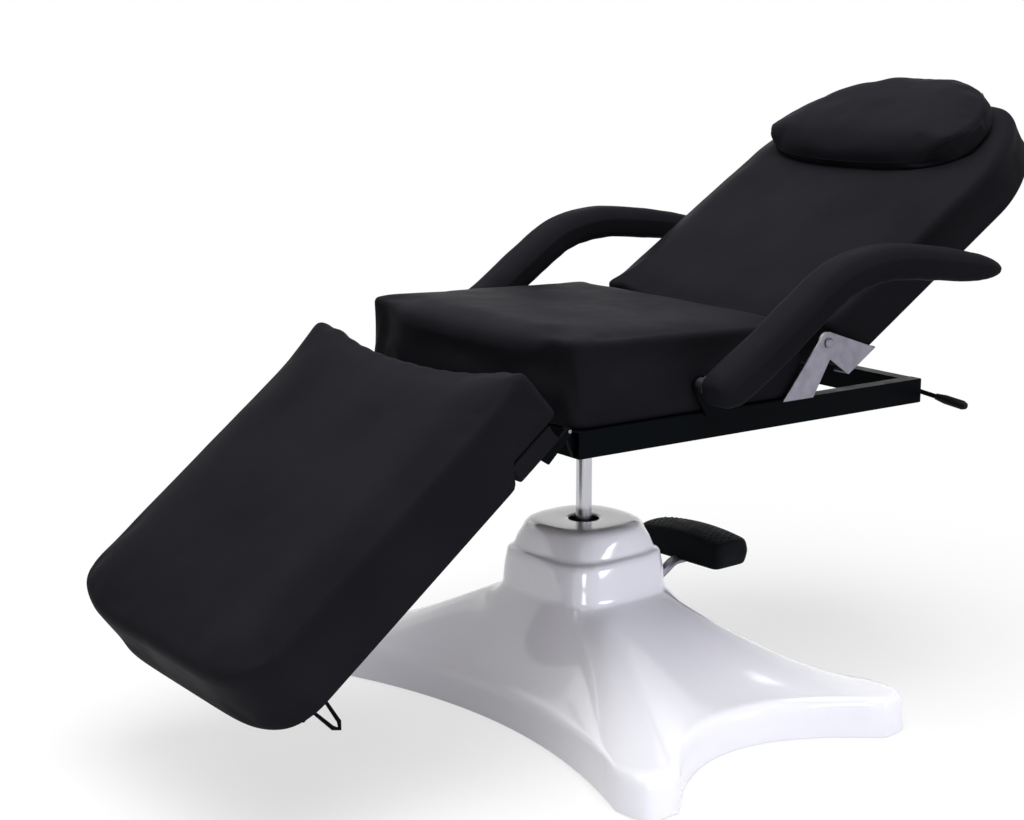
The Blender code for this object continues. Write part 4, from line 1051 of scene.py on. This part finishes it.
def armrest(side, sign):
    """A wrapped pad swept along the bent arm."""
    path = smooth_path(ARM_PATH, ARM_PATH_STEPS)
    section = arm_section()
    shape = bmesh.new()
    rings = []
    length = 0.0
    for index, (y, z, fullness) in enumerate(path):
        before = path[max(0, index - 1)]
        after = path[min(len(path) - 1, index + 1)]
        heading = Vector((0, after[0] - before[0], after[1] - before[1])).normalized()
        length += math.hypot(y - before[0], z - before[1])
        up = Vector((0, -heading.z, heading.y))
        wide = min(1.0, fullness) ** ARM_END_FULLNESS * ARM_WIDTH / 2
        ring = []
        for across, rise in section:
            core = Vector((across * wide, y, z))
            point = core + up * (rise * fullness * ARM_THICKNESS / 2)
            outward = (Vector((across, 0, 0)) + up * rise).normalized()
            spot = Vector((point.x, y, z))
            point += outward * arm_relief(spot, rise, length, sign) * min(1.0, fullness * 1.2)
            ring.append(shape.verts.new(point))
        rings.append(ring)
    for first, second in zip(rings, rings[1:]):
        join_rings(shape, first, second)
    for ring in (rings[0], rings[-1]):
        middle = sum((vertex.co for vertex in ring), Vector()) / len(ring)
        inner = [shape.verts.new(middle + (vertex.co - middle) * ARM_END_RING) for vertex in ring]
        centre = shape.verts.new(middle)
        join_rings(shape, ring, inner)
        for first, second in zip(inner, inner[1:] + inner[:1]):
            shape.faces.new((first, second, centre))
    bmesh.ops.recalc_face_normals(shape, faces=shape.faces)
    pivot = JOINTS[f"arm_raise_{side}"]
    place = Matrix.Translation((sign * ARM_CENTRE_X, pivot.y, pivot.z))
    item = object_from(f"arm_pad_{side}", shape, place, FINISHES["black_vinyl"])
    finish_pad(item, f"armrest_{side}", f"armrest_{side}")


for side_name, side_sign in SIDES:
    armrest(side_name, side_sign)


# Moulded base


def base_outline(turn):
    """Distance from the ram axis to the rim: two long and two short hollow sides."""
    across = abs(math.cos(turn))
    along = abs(math.sin(turn))
    reach = BASE_WAIST_X
    for _ in range(BASE_ROUNDS):
        side_x = BASE_WAIST_X + BASE_SPREAD_X * min(1.0, reach * along / BASE_FOOT_Y) ** 2
        side_y = BASE_WAIST_Y + BASE_SPREAD_Y * min(1.0, reach * across / BASE_FOOT_X) ** 2
        corner = (across / side_x) ** BASE_CORNER + (along / side_y) ** BASE_CORNER
        reach = (reach + corner ** (-1 / BASE_CORNER)) / 2
    return reach


def tower_outline(turn, half, power=TOWER_SQUARENESS):
    return half / (abs(math.cos(turn)) ** power + abs(math.sin(turn)) ** power) ** (1 / power)


def cover_rings(turn):
    """The cover from rim to ram hole at one turn, as (reach, height) pairs."""
    rim = base_outline(turn)
    rings = [(rim - inward, height) for inward, height in COVER_FOOT]
    rings += [(rim - inward, COVER_SIDE * share) for inward, share in COVER_RIM]
    shoulder = rim - COVER_SHOULDER
    foot = tower_outline(turn, TOWER_FOOT_HALF)
    hollow = SKIRT_HOLLOW - SKIRT_SIDE_FILL * abs(math.sin(turn)) ** 6
    for step in range(1, SKIRT_STEPS + 1):
        share = step / SKIRT_STEPS
        height = COVER_SIDE + (TOWER_FOOT - COVER_SIDE) * share**hollow
        rings.append((shoulder + (foot - shoulder) * share, height))
    for half, height in TOWER_WALLS:
        upper = max(0.0, height - TOWER_STEP) / (TOWER_TOP - TOWER_STEP)
        rounder = (TOWER_TOP_SQUARENESS - TOWER_SQUARENESS) * min(1.0, upper * TOWER_ROUNDING)
        rings.append((tower_outline(turn, half, TOWER_SQUARENESS + rounder), height))
    rings += [(TOWER_HOLE + outward, TOWER_TOP - down) for outward, down in TOWER_LIP]
    return rings


def softened(reaches, passes):
    """One ring of reaches, evened out between neighbours."""
    for _ in range(passes):
        before = reaches[-1:] + reaches[:-1]
        after = reaches[1:] + reaches[:1]
        reaches = [(low + 2 * here + high) / 4 for low, here, high in zip(before, reaches, after)]
    return reaches


def cover_skin():
    """The outside of the cover, with the ridges of its skirt evened out."""
    turns = [2 * math.pi * index / COVER_TURNS for index in range(COVER_TURNS)]
    rings = []
    for index, ring in enumerate(zip(*[cover_rings(turn) for turn in turns])):
        share = min(1.0, max(0.0, (index - SKIRT_START) / SKIRT_STEPS))
        passes = round(SKIRT_PASSES * math.sin(math.pi * share))
        reaches = softened([reach for reach, _ in ring], passes)
        rings.append(list(zip(reaches, [height for _, height in ring])))
    shape = bmesh.new()
    columns = []
    for turn, column in zip(turns, zip(*rings)):
        heading = Vector((math.cos(turn), math.sin(turn), 0))
        columns.append([shape.verts.new(heading * reach + Vector((0, 0, z))) for reach, z in column])
    for first, second in zip(columns, columns[1:] + columns[:1]):
        for low in range(len(first) - 1):
            shape.faces.new((first[low], second[low], second[low + 1], first[low + 1]))
    return shape


def moulded_cover():
    """A thin shell with the slot for the pedal's arm cut through it."""
    item = object_from("moulded_cover", cover_skin(), BASE_FRAME, FINISHES["white_plastic"])
    wall = item.modifiers.new("wall", "SOLIDIFY")
    wall.thickness = COVER_WALL
    wall.offset = -1.0
    cutter_shape = bmesh.new()
    bmesh.ops.create_cube(cutter_shape, size=1.0)
    bmesh.ops.scale(cutter_shape, vec=SLOT_SIZE, verts=cutter_shape.verts)
    bmesh.ops.translate(cutter_shape, vec=SLOT_CENTRE, verts=cutter_shape.verts)
    cutter = object_from("pedal_slot", cutter_shape, BASE_FRAME)
    opening = item.modifiers.new("opening", "BOOLEAN")
    opening.object = cutter
    opening.operation = "DIFFERENCE"
    graph = bpy.context.evaluated_depsgraph_get()
    result = bpy.data.meshes.new_from_object(item.evaluated_get(graph))
    item.modifiers.clear()
    item.data = result
    bpy.data.objects.remove(cutter)
    result.polygons.foreach_set("use_smooth", [True] * len(result.polygons))
    result.set_sharp_from_angle(angle=COVER_SHARP_ANGLE)
    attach(item, "pedestal")
    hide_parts("base_cover")


moulded_cover()


# Pedal tread


def tread_height(u, v):
    """The top of the tread arches along its length."""
    return PEDAL_PAD[2] * (1 - TREAD_ARCH_ALONG * v * v - TREAD_ARCH_ACROSS * u * u)


def tread_point(u, v, w):
    """A point of the tread's skin at shares across, along and up."""
    width, depth, _ = PEDAL_PAD
    side = (1 - abs(u)) * width / 2
    end = (1 - abs(v)) * depth / 2
    inside = min(side, end)
    if side < TREAD_CORNER and end < TREAD_CORNER:
        reach = (TREAD_CORNER - side, TREAD_CORNER - end)
        scale = max(reach) / math.hypot(*reach)
        u = math.copysign(1 - (TREAD_CORNER - reach[0] * scale) * 2 / width, u)
        v = math.copysign(1 - (TREAD_CORNER - reach[1] * scale) * 2 / depth, v)
    crown = tread_height(u, v)
    x = u * width / 2
    y = PEDAL_CENTRE + v * depth / 2
    if w == 1:
        drop = max(0.0, TREAD_EDGE - inside)
        z = PEDAL_LOW + crown - TREAD_EDGE + math.sqrt(TREAD_EDGE**2 - drop**2)
        return (x * TREAD_TOP_WIDTH, y, z)
    if w == 0:
        drop = max(0.0, TREAD_UNDER_EDGE - inside)
        z = PEDAL_LOW + TREAD_UNDER_EDGE - math.sqrt(TREAD_UNDER_EDGE**2 - drop**2)
        return (x * TREAD_UNDER_WIDTH, y, z)
    swell = TREAD_UNDER_WIDTH + TREAD_SWELL * math.sin(math.pi * min(1.0, w * 1.1) * 0.5)
    swell -= TREAD_NARROWING * ease((w - 0.6) / 0.4)
    return (x * swell, y, PEDAL_LOW + TREAD_UNDER_EDGE + (crown - TREAD_EDGE - TREAD_UNDER_EDGE) * w)


def pedal_tread():
    """The rubber tread, and the rows of dots on its top."""
    width, depth, _ = PEDAL_PAD
    across = spread(width / 2, TREAD_ACROSS_EDGES, TREAD_ACROSS_STEP)
    along = spread(depth / 2, TREAD_ALONG_EDGES, TREAD_ALONG_STEP)
    shape, _ = lattice(across, along, TREAD_RISE_SHARES, tread_point)
    tread = object_from("pedal_tread", shape, PEDAL_FRAME, FINISHES["black_rubber"])
    subdivide(tread)
    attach(tread, "pump_pedal")
    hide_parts("pedal_pad")

    dots = bmesh.new()
    for row in range(DOT_ROWS):
        v = DOT_FIRST_ROW + DOT_ROW_STEP * row
        for column in range(DOT_COLUMNS):
            x = (column - 7 + 0.5 * (row % 2) - 0.25) * DOT_STEP
            z = PEDAL_LOW + tread_height(2 * x / width, v) - DOT_SINK
            centre = Matrix.Translation((x, PEDAL_CENTRE + v * depth / 2, z))
            spot = centre @ Matrix.Diagonal((1, 1, DOT_FLATNESS, 1))
            bmesh.ops.create_icosphere(dots, subdivisions=2, radius=DOT_RADIUS, matrix=spot)
    grips = object_from("pedal_tread_dots", dots, PEDAL_FRAME, FINISHES["black_rubber"])
    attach(grips, "pump_pedal")


pedal_tread()


# CAD pieces that are shown as they are


def dress(item, slot_name):
    """Join the faces for smooth shading, soften the edges and give the finish."""
    mesh = item.data
    if "custom_normal" in mesh.attributes:
        mesh.attributes.remove(mesh.attributes["custom_normal"])
    mesh.polygons.foreach_set("use_smooth", [True] * len(mesh.polygons))
    weld = item.modifiers.new("weld", "WELD")
    weld.merge_threshold = WELD_GAP
    soften = item.modifiers.new("soften", "BEVEL")
    soften.width = EDGE_SOFTENING
    soften.segments = 2
    soften.limit_method = "ANGLE"
    soften.angle_limit = SOFTEN_ANGLE
    soften.harden_normals = True
    mesh.materials.clear()
    mesh.materials.append(FINISHES[slot_name])


for node, item in NODES.items():
    if not item.hide_render:
        dress(item, NODE_SLOTS[node])


# Stage, light and camera


def background_rays(tree):
    """1 for the rays that show the background: straight, in a reflection or through glass."""
    path = tree.nodes.new("ShaderNodeLightPath")
    shown = path.outputs["Is Camera Ray"]
    for ray in ("Is Glossy Ray", "Is Transmission Ray"):
        either = tree.nodes.new("ShaderNodeMath")
        either.operation = "MAXIMUM"
        tree.links.new(shown, either.inputs[0])
        tree.links.new(path.outputs[ray], either.inputs[1])
        shown = either.outputs[0]
    return shown


def make_stage():
    """A pale floor that keeps the shadow near the bed and fades to white further out."""
    shape = bmesh.new()
    bmesh.ops.create_grid(shape, x_segments=1, y_segments=1, size=FLOOR_SIZE)
    material = new_material("floor_white", (0.90, 0.90, 0.90), 0.9, specular=0.0)
    tree = material.node_tree
    place = tree.nodes.new("ShaderNodeTexCoord")
    reach = tree.nodes.new("ShaderNodeVectorMath")
    reach.operation = "LENGTH"
    tree.links.new(place.outputs["Object"], reach.inputs[0])
    reaches = (FLOOR_SHADOW_REACH, FLOOR_WHITE_REACH)
    far = in_range(material, reach.outputs["Value"], FLOOR_WHITE_NEAR, 1.0, *reaches)
    both = tree.nodes.new("ShaderNodeMath")
    both.operation = "MULTIPLY"
    tree.links.new(far, both.inputs[0])
    tree.links.new(background_rays(tree), both.inputs[1])
    white = tree.nodes.new("ShaderNodeEmission")
    blend = tree.nodes.new("ShaderNodeMixShader")
    tree.links.new(both.outputs[0], blend.inputs[0])
    tree.links.new(shader_of(material).outputs[0], blend.inputs[1])
    tree.links.new(white.outputs[0], blend.inputs[2])
    tree.links.new(blend.outputs[0], tree.nodes["Material Output"].inputs["Surface"])
    floor = object_from("floor", shape, Matrix.Translation((0, 0, -FLOOR_DROP)), material)


def area_light(name, place, target, size, power, colour=WHITE, spread=180.0):
    """A soft panel of light; a small spread, in degrees, keeps it on its target."""
    data = bpy.data.lights.new(name, "AREA")
    data.color = colour
    data.shape = "RECTANGLE"
    data.size, data.size_y = size
    data.energy = power
    data.spread = math.radians(spread)
    lamp = bpy.data.objects.new(name, data)
    bpy.context.scene.collection.objects.link(lamp)
    lamp.location = place
    lamp.rotation_euler = (Vector(target) - Vector(place)).to_track_quat("-Z", "Y").to_euler()


def make_world():
    """A white background, with a much weaker light on the bed itself."""
    world = bpy.data.worlds.new("studio")
    bpy.context.scene.world = world
    world.use_nodes = True
    tree = world.node_tree
    background = tree.nodes["Background"]
    background.inputs["Color"].default_value = (*WHITE, 1.0)
    strength = tree.nodes.new("ShaderNodeMapRange")
    strength.inputs["To Min"].default_value = STUDIO_LIGHT
    strength.inputs["To Max"].default_value = 1.0
    tree.links.new(background_rays(tree), strength.inputs["Value"])
    tree.links.new(strength.outputs["Result"], background.inputs["Strength"])


def make_camera():
    data = bpy.data.cameras.new("camera")
    data.sensor_width = 36.0
    data.sensor_fit = "HORIZONTAL"
    data.lens = CAMERA_LENS
    data.clip_end = 100.0
    camera = bpy.data.objects.new("camera", data)
    bpy.context.scene.collection.objects.link(camera)
    camera.location = CAMERA_PLACE
    camera.rotation_euler = (math.radians(90 - CAMERA_DIP), 0.0, math.radians(CAMERA_TURN))
    bpy.context.scene.camera = camera


make_stage()
make_world()
make_camera()
area_light("overhead", (0.5, -0.4, 3.6), (0.1, -0.1, 0.4), (3.2, 3.6), 188.0)
area_light("wall_far", (-3.0, 2.5, 1.1), (0.0, 0.0, 0.5), (5.0, 2.0), 9.0)
area_light("wall_left", (-2.7, -0.2, 2.5), (0.0, 0.0, 0.5), (2.6, 2.6), 16.0)
# two low panels that light the base and leave the sides of the bed dark
area_light("wall_right", (2.6, 1.6, 0.35), (0.0, 0.0, 0.1), (2.4, 0.5), 1.5, COOL, 22.0)
area_light("fill_front", (2.9, -1.2, 0.35), (0.0, 0.0, 0.1), (2.4, 0.5), 0.9, COOL, 22.0)
bpy.context.scene.view_settings.view_transform = "Standard"
